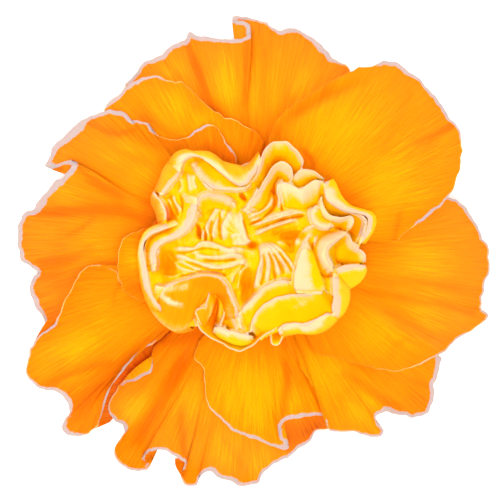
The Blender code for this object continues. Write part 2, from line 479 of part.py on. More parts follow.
def core_body(ground):
    """The heart's smaller core: a stalk round the pistil, an underside that follows the guard
    petals it lies on, and a dome below the folds' edges. Its flank is waved like petals' backs."""
    verts, rings = [(0, 0, CORE_BORE_TOP)], []
    turns = np.arange(CORE_SIDES) * 2 * math.pi / CORE_SIDES
    rows = [(r, np.full(CORE_SIDES, z)) for r, z in CORE_STALK]
    for r in CORE_UNDER_R:
        ring = np.stack([r * np.cos(turns), r * np.sin(turns)], axis=1)
        wide = np.max([ground.under(ring + [dx, dy]) for dx in (-1, 0, 1) for dy in (-1, 0, 1)], axis=0)
        wide = np.maximum(wide, CORE_UNDER_LOW_Z)
        beside = np.maximum(np.roll(wide, 1), np.roll(wide, -1))
        rows.append((r, np.maximum(wide, (wide + beside) / 2) + LAY_GAP))
    flank = CORE_FLANK_R + sum(deep * np.sin(many * turns + turn) for many, deep, turn in CORE_FLANK_WAVES)
    rows += [(flank, (rows[-1][1] + CORE_RIM_Z) / 2), (CORE_RIM_R, np.full(CORE_SIDES, CORE_RIM_Z))]
    rows += [(r, np.full(CORE_SIDES, dome(r) - CORE_DEPTH)) for r in CORE_TOP_R]
    for r, z in rows:
        rings.append(len(verts))
        verts += list(zip(r * np.cos(turns), r * np.sin(turns), z))
    verts.append((0, 0, dome(0) - CORE_DEPTH))
    faces = []
    for k in range(CORE_SIDES):
        n = (k + 1) % CORE_SIDES
        faces += [(0, rings[0] + k, rings[0] + n), (rings[-1] + k, rings[-1] + n, len(verts) - 1)]
        for low, high in zip(rings, rings[1:]):
            faces += [(low + k, low + n, high + n), (low + k, high + n, high + k)]
    return verts, faces


def make_heart(ground):
    """All inner petals: the folds and the smaller core that they stand out of, in one body."""
    core = add_object("inner_petals", *core_body(ground), "yellow")
    folds = bpy.data.collections.new("folds")
    bpy.context.scene.collection.children.link(folds)
    for name, (lift, drop, edge, foot) in FOLDS.items():
        fold = add_object(name, *fold_sheet(lift, drop, edge, foot), "yellow")
        bpy.context.collection.objects.unlink(fold)
        folds.objects.link(fold)
    union = core.modifiers.new("union", "BOOLEAN")
    union.operation = "UNION"
    union.operand_type = "COLLECTION"
    union.collection = folds
    union.solver = "MANIFOLD"
    joined = bpy.data.meshes.new_from_object(core.evaluated_get(bpy.context.evaluated_depsgraph_get()))
    core.modifiers.remove(union)
    core.data = joined
    for fold in list(folds.objects):
        bpy.data.objects.remove(fold)
    bpy.data.collections.remove(folds)
    keep_largest_body(core.data)


def keep_largest_body(mesh):
    """Drops loose scraps and fills sealed hollows that a union leaves."""
    bm = bmesh.new()
    bm.from_mesh(mesh)
    bmesh.ops.triangulate(bm, faces=bm.faces)
    groups, seen = [], set()
    for start in bm.faces:
        if start in seen:
            continue
        group, stack = [], [start]
        seen.add(start)
        while stack:
            face = stack.pop()
            group.append(face)
            for edge in face.edges:
                for other in edge.link_faces:
                    if other not in seen:
                        seen.add(other)
                        stack.append(other)
        groups.append(group)
    largest = max(groups, key=len)
    for group in groups:
        if group is not largest:
            bmesh.ops.delete(bm, geom=group, context="FACES")
    bmesh.ops.delete(bm, geom=[v for v in bm.verts if not v.link_faces], context="VERTS")
    bm.to_mesh(mesh)
    bm.free()


def make_stem():
    """The cut stub and the receptacle at its top."""
    profile = [(0, 0), (STEM_R, 0), (STEM_R, 3.2), (2.9, 3.8), (RECEPTACLE_R, 6.2),
               (RECEPTACLE_R, RECEPTACLE_TOP), (0, RECEPTACLE_TOP)]
    add_object("stem", *lathe(profile), "green")


def scalloped_cup(inner, outer, teeth):
    """A thin cup between two profiles whose rim, between the last two points, is cut into teeth."""
    sides = teeth * TOOTH_SIDES
    grids = []
    for profile in (inner, outer):
        rows = []
        for k, (r, z) in enumerate(profile):
            row = []
            for j in range(sides):
                beside = abs(2 * (j % TOOTH_SIDES) / TOOTH_SIDES - 1)
                notch = NOTCH_DEPTH * beside ** 1.4 if k == len(profile) - 1 else 0
                low_r, low_z = profile[-2]
                a = 2 * math.pi * j / sides
                tooth_r = r + (low_r - r) * notch
                row.append((tooth_r * math.cos(a), tooth_r * math.sin(a), z + (low_z - z) * notch))
            rows.append(row)
        grids.append(rows)
    verts = [v for grid in grids for row in grid for v in row]
    rows = len(inner)
    faces = []

    def at(side, i, j):
        return (side * rows + i) * sides + j % sides

    for j in range(sides):
        for i in range(rows - 1):
            a, b, c, d = at(0, i, j), at(0, i, j + 1), at(0, i + 1, j + 1), at(0, i + 1, j)
            faces += [(a, b, c), (a, c, d)]
            a, b, c, d = at(1, i, j), at(1, i, j + 1), at(1, i + 1, j + 1), at(1, i + 1, j)
            faces += [(a, c, b), (a, d, c)]
        for i in (0, rows - 1):
            a, b, c, d = at(0, i, j), at(0, i, j + 1), at(1, i, j + 1), at(1, i, j)
            faces += [(a, b, c), (a, c, d)]
    return verts, faces


def make_calyx():
    inner = [(3.3, 3.6), (5.7, 6.1), (6.1, 9.5), (6.5, CALYX_RIM_Z), (7.6, CALYX_RIM_Z + TOOTH_LENGTH)]
    outer = [(3.9, 3.1), (6.4, 5.9), (6.8, 9.4), (7.2, CALYX_RIM_Z), (8.1, CALYX_RIM_Z + TOOTH_LENGTH)]
    add_object("calyx", *scalloped_cup(inner, outer, CALYX_TEETH), "green")


def make_bracts():
    inner = [(2.9, 1.6), (4.2, 2.9), (6.75, 5.8), (7.2, 11)]
    outer = [(3.1, 1.0), (4.7, 2.4), (7.4, 5.5), (7.9, 11)]
    add_object("bracts", *scalloped_cup(inner, outer, BRACTS), "pale_green")


def make_pistil():
    """The ovary on the receptacle and its style, inside the ring of claws."""
    base = RECEPTACLE_TOP + GAP
    profile = [(0, base), (1.8, base), (2.4, base + 2), (2.2, base + 4.5), (1.0, base + 6.5),
               (0.6, base + 8), (0, base + 8.2)]
    add_object("pistil", *lathe(profile), "pale_green")


for old in list(bpy.data.objects):
    bpy.data.objects.remove(old)
make_stem()
make_calyx()
make_bracts()
make_pistil()
make_heart(make_guards())
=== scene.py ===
"""The looks of an open orange carnation: fine drooping petals round a frilled yellow heart.

Outlines are plan views in millimetres, x right and y up as seen from straight above.
"""

import math

import bmesh
import bpy
import numpy as np
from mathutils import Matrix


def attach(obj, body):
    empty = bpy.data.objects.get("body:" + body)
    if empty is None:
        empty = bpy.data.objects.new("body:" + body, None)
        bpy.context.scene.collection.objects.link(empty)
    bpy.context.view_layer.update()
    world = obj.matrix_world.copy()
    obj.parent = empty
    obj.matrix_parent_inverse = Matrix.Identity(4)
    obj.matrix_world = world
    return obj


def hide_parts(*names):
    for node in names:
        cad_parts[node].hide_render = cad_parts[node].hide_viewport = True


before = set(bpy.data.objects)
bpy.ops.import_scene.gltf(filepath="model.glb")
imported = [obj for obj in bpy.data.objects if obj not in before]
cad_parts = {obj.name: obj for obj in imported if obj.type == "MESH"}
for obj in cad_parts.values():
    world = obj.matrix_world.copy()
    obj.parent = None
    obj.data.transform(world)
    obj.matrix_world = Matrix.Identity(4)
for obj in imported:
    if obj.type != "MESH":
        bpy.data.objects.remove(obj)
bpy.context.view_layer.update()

MM = 0.001

# Curves and grids, in millimetres
CURVE_STEPS = 12  # places worked out between two given ones
LEAST_POINTS = 12
FINE_STEP = 0.4  # distance between the points of a crack or a streak
RIDGE_STEP = 0.5
LEAF_STEP = 0.5
TURNED_STEP = 0.35
GROUND_CELL = 0.4
GROUND_HALF = 140  # cells from the axis to the side of the ground's grid
NOTHING = -100.0  # height where no petal lies
FAR = 60.0  # a distance past every margin
TINY = 1e-6

# The flower's build, as in its solids, in millimetres
CLAW_R = 5.5  # ring in which the guard petals' claws stand
CLAW_LEAN = 0.6
CLAW_WIDTH = 2.1
CLAW_FOOT_SHARE = 0.8  # the foot's width as a share of the claw's
CLAW_FOOT_Z = 8.7
CLAW_ROWS = (0, 0.35, 0.7, 1)
THROAT_Z = 20.15  # height at which the lowest petals leave the calyx
THROAT_R = 6.5
LAYER_STEP = 1.3
SHOULDER = 4.5
SHOULDER_RUN = 5.0
DROOP_FROM_R = 15.0
DROOP_RUN = 25.0
DROOP_POWER = 1.6
HEART_TOP = 44.0
HEART_R = 20.0
HEART_END_R = 24.0
HEART_FALL = 7.0
HEART_POWER = 2.2

# Guard petals. Waves laid over one another are given as pairs of run and height
BLADE = 0.34  # thickness in the middle of a guard petal
RIM_BLADE = 0.16  # thickness at its cut edge
RIM_POWER = 4  # how late on the way out a blade thins
COLUMN_STEP = 0.62  # distance between a guard petal's columns, along its edge
BLADE_ROWS = 56
FIRST_ROW = 0.03
ROW_CROWDING = 1.25  # how much closer the rows lie near the edge
ROW_SHARES = 1 - (1 - np.linspace(FIRST_ROW, 1, BLADE_ROWS)) ** ROW_CROWDING
LEAST_RUN = 0.05
EDGE_ENDS = 0.02, 0.12  # shares of the edge, from each end, between which its teeth grow
SOFT_RUN = 3.4  # how far along the edge its crinkles are smoothed away, towards the claw
CRINKLE_FROM = 0.5  # share of the way out at which they begin
CRINKLE_POWER = 1.5
SERRATION = 0.26
TEETH = [(1.1, 0.6), (2.3, 0.5)]
FRILL = [(3.4, 0.35)]
RAYS = [(2.6, 0.2), (5.5, 0.26)]  # the soft rays that run out from the claw
RAYS_RISE = 0.15, 0.6  # shares of the way out between which they rise
RAYS_FADE = 0.5
CREASE_START = -0.02, 0.25  # shares of a crease between which it deepens
CREASE_END = 0.8, 1.02  # and those between which it fades
CREASE_END_FADE = 0.5
# A crease's painted shade; a crease whose depth is below nothing gives painted light
CREASE_SHADE_WIDTH = 0.9  # a crease's dark as a share of its width
BRIGHTEST_DEPTH, DARKEST_DEPTH = -0.6, 1.4  # past these a crease gets no brighter or darker
STEEPEST = 1.8
LOWEST = 0.02
LAY_GAP = 0.22
LEAST_LAY_GAP = 0.132
LAY_ROUNDS = 3
LAY_EASING = 2
SPREAD_ROUNDS = 4
SPREAD_SHARE = 0.86
MARGIN_REACH = 4  # columns on each side in which the nearest edge point is sought
MARGIN_WAVER = [(3, 0.2)]
# Painted light of the lit patches
LIT_PATCH_TONE = 0.32
# Painted shade in the creases, near the edge and round the heart
CREASE_SHADE = 0.34
EDGE_SHADE = 0.12
EDGE_SHADE_RUN = 3.5
THROAT_SHADE = 0.16
THROAT_SHADE_R, THROAT_DARK_R = 23, 15.5  # where the dark round the heart begins and is full
FLAP_STEP = 0.35
FLAP_ROWS = 12
FLAP_BLADE = 0.25
FLAP_LOWEST = 0.05
FLAP_END = 9  # how far along the petal a flap's veins end

# Folds of the heart
FOLD_STEP = 0.34
FOLD_BLADE = 0.3
FOLD_RIM_SHARE = 0.45  # thickness at the edge as a share of the fold's
FOLD_RIM_ROWS = 4
FOLD_END = 0.14  # share of a fold's length in which its end dives
END_SINK = 1.3  # how far both ends of a fold dive under its neighbours
FOLD_RUFFLE = [(2.2, 0.16)]
FOLD_WAVER = [(1.3, 0.09)]
FOLD_PLEATS = [(1.6, 0.16), (0.8, 0.07)]
PLEAT_FALL = 1.2  # how early on the way down a face its pleats end
VEIN_SHIFT = 50  # so that no two folds have the same veins
FACE_ROWS = 15
ROOT_ROWS = 5
ROOT_SHARE = 0.84
ROOT_DEPTH = 3.2
BOW = 1.3
DROP_SHARE = 0.62  # how much of its solid's drop an inner fold's face keeps
INNER_FOLD_R, OUTER_FOLD_R = 12, 17
BACK_STEP = 0.5  # how far below a fold's edge the bed meets its back
BACK_SLOPE = 0.3
BACK_ROWS = 0.25, 0.45
# Painted shade on a fold's face, darker the deeper it lies below the dome
DEPTH_SHADE = 0.5
SHADE_FROM, SHADE_TO = 2.0, 5.9  # depths below the dome between which a face darkens
CREAM_SHARE = 0.64
CREAM_REACH = 0.6
FULL_CREAM = 3
LEAST_CREAM, MOST_CREAM = -0.4, 1.4
END_CREAM = 0.3  # cream at a fold's ends as a share of its middle's
CREAM_WAVER = [(3, 0.45)]
CREAM_LIMITS = 0.45, 1.6
BLUSH_WAVER = [(2.6, 0.6)]
BLUSH_LIMITS = 0.3, 1.9
TONE_WAVER = [(4, 0.14)]
STREAK_START = -0.1, 0.15
STREAK_END = 0.75, 1.1
DEEPEST_RELIEF = -0.5
# Painted light on the raised parts of the folds' faces, painted shade on the sunk ones
FOLD_RELIEF_LIGHT_AND_SHADE = (0.12, 0.3), (0.02, 0.7)  # what tone and cream gain, everywhere and with the relief

# The bed between the folds
BED_CELL = 0.16
BED_HALF = 24
BED_SIDE = 210  # points along each side of the bed's grid
BED_STEP = 0.42  # how far the bed lies below a fold's face
BED_INSET = 1.0
BED_GRAIN = 1.7
BED_TONE = 0.95
BED_CREAM = 0.12
BED_RAYS = 38
BED_RAY_HEIGHT = 0.13
BED_RAYS_RISE = 3, 7  # distances from the axis between which they rise
RAY_SWAY, RAY_SWAY_BENDS = 1.6, 0.8
CRUMPLE_HEIGHTS = 0.1, 0.1, 0.08, 0.06
CRUMPLE_BENDS = 2.1, 2.9, 3.9, 5.3
CRUMPLE_TURN, CRUMPLE_PHASE = 3.1, 6
CRACK_START = -0.05, 0.1
CRACK_POWER = 1.5
RIDGE_BACK = 0.13  # how steeply a pleat falls behind its edge
RIDGE_END = 0.2
RIDGE_CREAM = 0.75  # how far the cream reaches on a pleat's face
RIDGE_CREAM_SHARE = 0.72
DEEPEST_HOLLOW = 2.4
# Painted light on the bed's swellings, painted shade in its hollows and cracks
FORM_LIGHT_AND_SHADE = 0.2, -0.36, -0.35  # what a swelling, a hollow and a crack do to the tone
FORM_CREAM_LIGHT_AND_SHADE = 0.6, -0.4, -1.0
SAG = 0.8
SAG_RUN = 0.7
AWAY_CELLS, EDGE_CELLS = 24, 40  # how far the folds' faces and their backs are looked for
FILL_ROUNDS = 60
HEIGHT_ROUNDS, TONE_ROUNDS = 500, 300
BLUR_ROUNDS = 60
RELIEF_LIMITS = -1.2, 0.9
REACH_SOFTNESS = 4  # degrees over which the bed's outline is evened out

# The skirt under the heart, the calyx, the bracts and the stem
NO_RIM = 0.03  # rim width of a skin that shows no rim
SKIRT_BLADE = 0.3
SKIRT_GAP = 0.3
SKIRT_HALF_TURN, SKIRT_WIDENING = 0.16, 0.42
SKIRT_RUFFLE, SKIRT_CORNERS = 0.55, 0.9  # ruffle height, corners' pull inwards
SEPALS = 5
SEPAL_BLADE = 0.5
SEPAL_OVERLAP = 0.03
RIBS = 9
RIB_HEIGHT = 0.09
TOOTH_FROM = 0.76  # share of the calyx's height at which it parts into teeth
TOOTH_CUT = 0.93
BRACT_BLADE = 0.4
BRACT_HALF_TURN = 0.92
BRACT_TAPER_FROM = 0.25
BRACT_TAPER, LEAST_TAPER = 0.57, 0.004
STEM_RIDGES = 12

# The skins
PETAL_SHINE = 0.03
BLUSH_SHARE = 0.75  # how strongly the heart's rims are blushed

# The stage. Of a sun: name, azimuth, elevation, strength and softness in degrees
FLOOR_HALF = 3.0
FLOOR_Z = -0.0003
FLOOR_GLOW = 0.5
SKY_STRENGTH = 0.62
SUNS = ("key", -75, 78, 2.3, 24), ("fill", 125, 48, 1.05, 50)

# A guard petal: azimuth of its claw, layer, droop at 40 mm from the axis, tone from deep to bright
# orange, and its outline from one side of the claw to the other, as (x, y) or (x, y, lift)
GUARDS = {
    "petal_top": (88, 0, 22, 0.4, [
        (-3.5, 9), (-9, 17), (-16, 24.5), (-21, 27.6, 0.2), (-22.9, 29, 0.5), (-22, 30.2, 0.2),
        (-20.7, 31.7), (-19.6, 33.5), (-17.5, 34.2, 0.3), (-16, 34.9, 0.6), (-15.1, 36.2, 0.6),
        (-13, 37.1, 0.3), (-12, 37.4, -0.2), (-11.7, 38.4, -1), (-11.2, 39, -0.8), (-10.3, 38.2, -0.4),
        (-8.8, 38.1, 0.2), (-7.6, 38, 0.5), (-4.9, 37.4, 1.3), (-3.1, 37.3, 1.8), (-1.3, 37.8, 2.2),
        (-0.1, 39.2, 2.2), (-0.5, 40.4, 1.2), (-2.1, 40.9), (-3.6, 41.2, -0.8), (-3.2, 41.7, -1),
        (-1.3, 41.6, -0.9), (0.5, 41.2, -0.4), (2.3, 40.7, 0.4), (3.8, 39.8, 1), (5, 39, 1.3),
        (7.2, 39.4, 0.6), (9.2, 38.9), (12.2, 36.7), (14, 34.7), (15.8, 33.3), (17.6, 31.7), (15, 24),
        (9, 15), (3.5, 9)]),
    "petal_bottom_left": (248, 0, 22, 0.44, [
        (-6.5, -8), (-13, -14), (-17.6, -17.6, 1), (-18, -19.8, 1.6), (-18.4, -22, 1.7),
        (-21.1, -23.6, 1.5), (-23.4, -24.3, 1), (-24.7, -25.6, 0.4), (-25.6, -27.4), (-25.9, -29.2),
        (-25, -30.6, 0.5), (-23.4, -31.9, 1.1), (-22.9, -33.5, 1.5), (-23.8, -34.7, 0.8), (-24.8, -36),
        (-25, -37.4, -0.6), (-23.8, -38.9, -0.8), (-22, -40.1, -0.9), (-19.3, -40.3, -0.4),
        (-18.5, -39.4, 0.6), (-19.9, -38.4, 1.6), (-19.6, -37.5, 2.2), (-18.3, -36.5, 2.5),
        (-15.7, -36.4, 2.5), (-13.9, -37.4, 1.8), (-12.1, -38.7, 1.3), (-12.1, -39.6, 0.6), (-12.9, -40.9),
        (-12.4, -42.4, -0.4), (-11.2, -42.9, -0.5), (-9.9, -42.7, -0.4), (-9.3, -41.4, 0.6),
        (-7.6, -40.1, 1.3), (-6.6, -40.9, 0.8), (-5.4, -41.6, 0.4), (-3.1, -42.5), (-1.3, -43, -0.4),
        (1.1, -42.3), (1.8, -40.5, 0.6), (3.2, -39.5, 0.6), (5, -38.5, 0.6), (7.5, -37, 0.6),
        (9, -36, 0.4), (10.4, -34.6, 0.2), (11.6, -32.8), (13.7, -32.2, -0.2), (12.3, -28), (7, -20),
        (1.5, -12), (-1.5, -8.5)]),
    "petal_upper_left": (122, 1, 18, 0.46, [
        (-8.5, 6.5), (-16, 13), (-22, 20), (-26.5, 24.5), (-25.2, 26.3), (-24.1, 27.5), (-22.9, 29),
        (-21, 30, 0.3), (-18.4, 30.8, 0.6), (-17, 31, 0.8), (-15.7, 30.2, 1), (-13.9, 29.7, 0.8),
        (-12.6, 29.9, 0.4), (-10.8, 28), (-8.5, 26.1), (-7.2, 24.7, 0.2), (-4.9, 23.6, 0.4),
        (-2.2, 22.5, 0.2), (-0.9, 21.6), (1.8, 19.4), (1.5, 14), (-0.5, 9)]),
    "petal_bottom": (279, 1, 14, 0.6, [
        (-3.6, -8.5), (-8, -15), (-10.3, -19.3), (-8.8, -21.6, 0.5), (-8.5, -24.7, 0.6),
        (-8.1, -27.4, 0.4), (-6.7, -29.5), (-4.9, -31.5), (-2.2, -33.3, 0.4), (0.5, -34.2, 0.6),
        (3.2, -35.3, 0.2), (5.9, -36.4, -0.4), (6.9, -36, 0.2), (6.4, -35.2, 0.8), (5.2, -34.2, 1.4),
        (4.7, -32.6, 2.1), (5.9, -31, 2.7), (8.6, -30.4, 2.5), (11.3, -29.9, 1.7), (13.1, -30.2, 1),
        (13.6, -31.8, 0.4), (11.5, -22), (8, -14), (4.5, -8.6)]),
    "petal_left": (155, 2, 22.6, 0.34, [
        (-4, 8.5), (-2.7, 15.8, 0.4), (-4.9, 18.9, 0.8), (-6.3, 21.2, 1.1), (-7, 22.1, 1.2),
        (-8.5, 21.8, 1), (-9.9, 21.2, 0.7), (-11.2, 20, 0.3), (-13, 19.4), (-14.8, 19.4), (-16.6, 20),
        (-17.8, 21.2, 0.3), (-18.7, 22.3, 0.5), (-21.4, 23, 0.8), (-22.9, 24.3, 0.9), (-24.7, 24.7, 0.7),
        (-26.5, 24.5, 0.4), (-28.3, 23.9, 0.2), (-31, 23), (-32.8, 21.2), (-34.6, 19.4), (-36, 18),
        (-36.7, 15.8, -0.6), (-37.1, 14.7, -0.8), (-35.5, 15, 0.2), (-33.4, 15.7, 1.4), (-32.1, 15.5, 2.2),
        (-32.8, 14, 2.1), (-34.2, 12.6, 1.5), (-35.5, 11.9, 0.9), (-36.7, 10.4, 0.6), (-38.2, 8.6),
        (-39.4, 6.8, -0.5), (-40.7, 6.5, -0.8), (-41.8, 4.7, -0.5), (-42.3, 2.3, -0.6), (-41.9, -0.4),
        (-41.6, -2.2, 0.6), (-40, -3.2, 1.4), (-38.5, -4.3, 1.7), (-39.5, -5.3, 1.2), (-40, -6.3, 0.6),
        (-40.1, -7.9, 0.2), (-39.1, -9.9), (-38.2, -11.5), (-37.3, -13), (-36.4, -14.4), (-28, -13),
        (-18, -10), (-9, -5.5)]),
    "petal_bottom_right": (310, 2, 15, 0.5, [
        (2, -9), (6.5, -17.5, 0.4), (9.4, -22.7, 0.6), (11.9, -27, 0.6), (13.2, -30.4, 0.5),
        (13.5, -32.4, 0.2), (15.8, -33.1), (18.5, -33.1), (20.3, -33.8, -0.3), (22.5, -34, -0.6),
        (23.8, -33.1, -0.3), (23.4, -32.2, 0.2), (22.3, -31, 1.2), (22.6, -29.9, 1.7), (24.5, -29.3, 1.9),
        (26.6, -29.9, 1), (29, -30.6), (31.1, -29.9, -0.4), (32, -28.8, -0.4), (32.8, -26.5),
        (32.6, -24.7, 0.5), (33.3, -22.9, 0.6), (33.8, -20.5, 0.5), (33.5, -19.3, 0.4), (25, -15),
        (16, -10.5), (8.5, -6.5)]),
    "petal_lower_left": (217, 3, 13.5, 0.3, [
        (-9, -1.2), (-17, -5.5), (-18.9, -9), (-22, -8.1, 0.4), (-23.6, -6.3, 0.7), (-24.3, -4.3, 0.8),
        (-25.6, -3.4, 0.6), (-27.4, -3.1, 0.4), (-29.2, -3.2, 0.2), (-30.4, -4), (-31.9, -6.7, 0.3),
        (-33.5, -9.4, 0.6), (-34.4, -11.5, 0.7), (-35.4, -13.5, 0.7), (-37.5, -15.1, 0.5),
        (-39.1, -16.9, 0.2), (-40.3, -20.2), (-40.3, -22.9), (-39.1, -24.3, 0.5), (-37.3, -25.6, 1),
        (-35.5, -25.7, 1.4), (-34.2, -26.5, 1.6), (-33.3, -27.7, 1.5), (-32.8, -29.5, 1.2),
        (-33.5, -30.6, 0.2), (-34.2, -32, -0.6), (-33.7, -33.1, -1), (-31.9, -33.8, -1.1),
        (-30.1, -33.5, -1), (-27.9, -32.2), (-27.2, -30.6, 0.6), (-26.8, -28.3, 1), (-25.9, -25.9, 1.2),
        (-24.1, -22.9, 1.2), (-22.3, -20.5, 1), (-20.2, -18.4, 0.8), (-17.5, -16.9, 0.6), (-16, -16, 0.3),
        (-11, -10.5), (-7, -6)]),
    "petal_right": (345, 3, 22.8, 0.46, [
        (8.8, 2), (16, 5.5), (25, 8.5), (35.1, 9.2, 0.6), (37.4, 8.1, 0.2), (39.2, 6.3), (40.7, 4),
        (41.4, 1.8), (42.5, 0.5), (42.8, -2.2, -0.6), (42.7, -4.9, -0.4), (41.8, -6.7, 0.2),
        (41.4, -9.4, 0.8), (41.2, -11.1, 1), (42.5, -11.7, 0.7), (42.1, -12.9, 0.2), (40.1, -14.6),
        (37.4, -16.2), (35.3, -17.8), (33.5, -19.3, 0.3), (32, -20, 0.5), (30.2, -20.9, 0.7),
        (28.4, -21.6, 0.9), (25.7, -22, 1), (23, -21.8, 0.8), (20.3, -21.1, 0.6), (17.6, -20.3, 0.3),
        (14, -19.3), (11.3, -18.4), (9.9, -16.2), (8, -10), (6.6, -6)]),
    "petal_top_right": (35, 4, 17.5, 0.52, [
        (1.8, 9), (2.5, 15), (3.2, 19.8, 0.3), (4.1, 22.1, 0.5), (6.8, 25.2, 0.6), (10.4, 27.5, 0.5),
        (14, 29.7, 0.4), (17.6, 31.7, 0.4), (20.3, 32.4, 0.5), (22.7, 33.1, 0.6), (23.9, 33.7, 0.5),
        (26.6, 32.9, 0.4), (29.3, 31), (31.7, 28.8), (33.8, 26.1), (35.6, 23.4), (37.3, 21.2, 0.4),
        (37.6, 17.6, 0.4), (37.3, 14.9), (36.5, 12.2), (36.2, 10.4), (35.1, 9.2, 0.2), (33.8, 7.7, 0.4),
        (31.1, 5.4, 0.6), (28.4, 3.6, 0.8), (25.7, 1.4, 0.6), (24.5, 0.9, 0.4), (20.7, 1.2, 0.2),
        (17, 0.5), (9, 0.8)]),
    "petal_inner_left": (186, 4, 9, 0.42, [
        (-8.5, 2.2), (-16.3, 5), (-18, 3.8), (-20, 3.2), (-23, 1.6, 0.4), (-23.6, 0, 0.2), (-23.9, -2.4),
        (-24, -4.6), (-23.5, -6.4), (-22.8, -7.7), (-21.1, -8.8), (-18.6, -9.4), (-13.5, -5.6),
        (-8.6, -2.6)]),
}

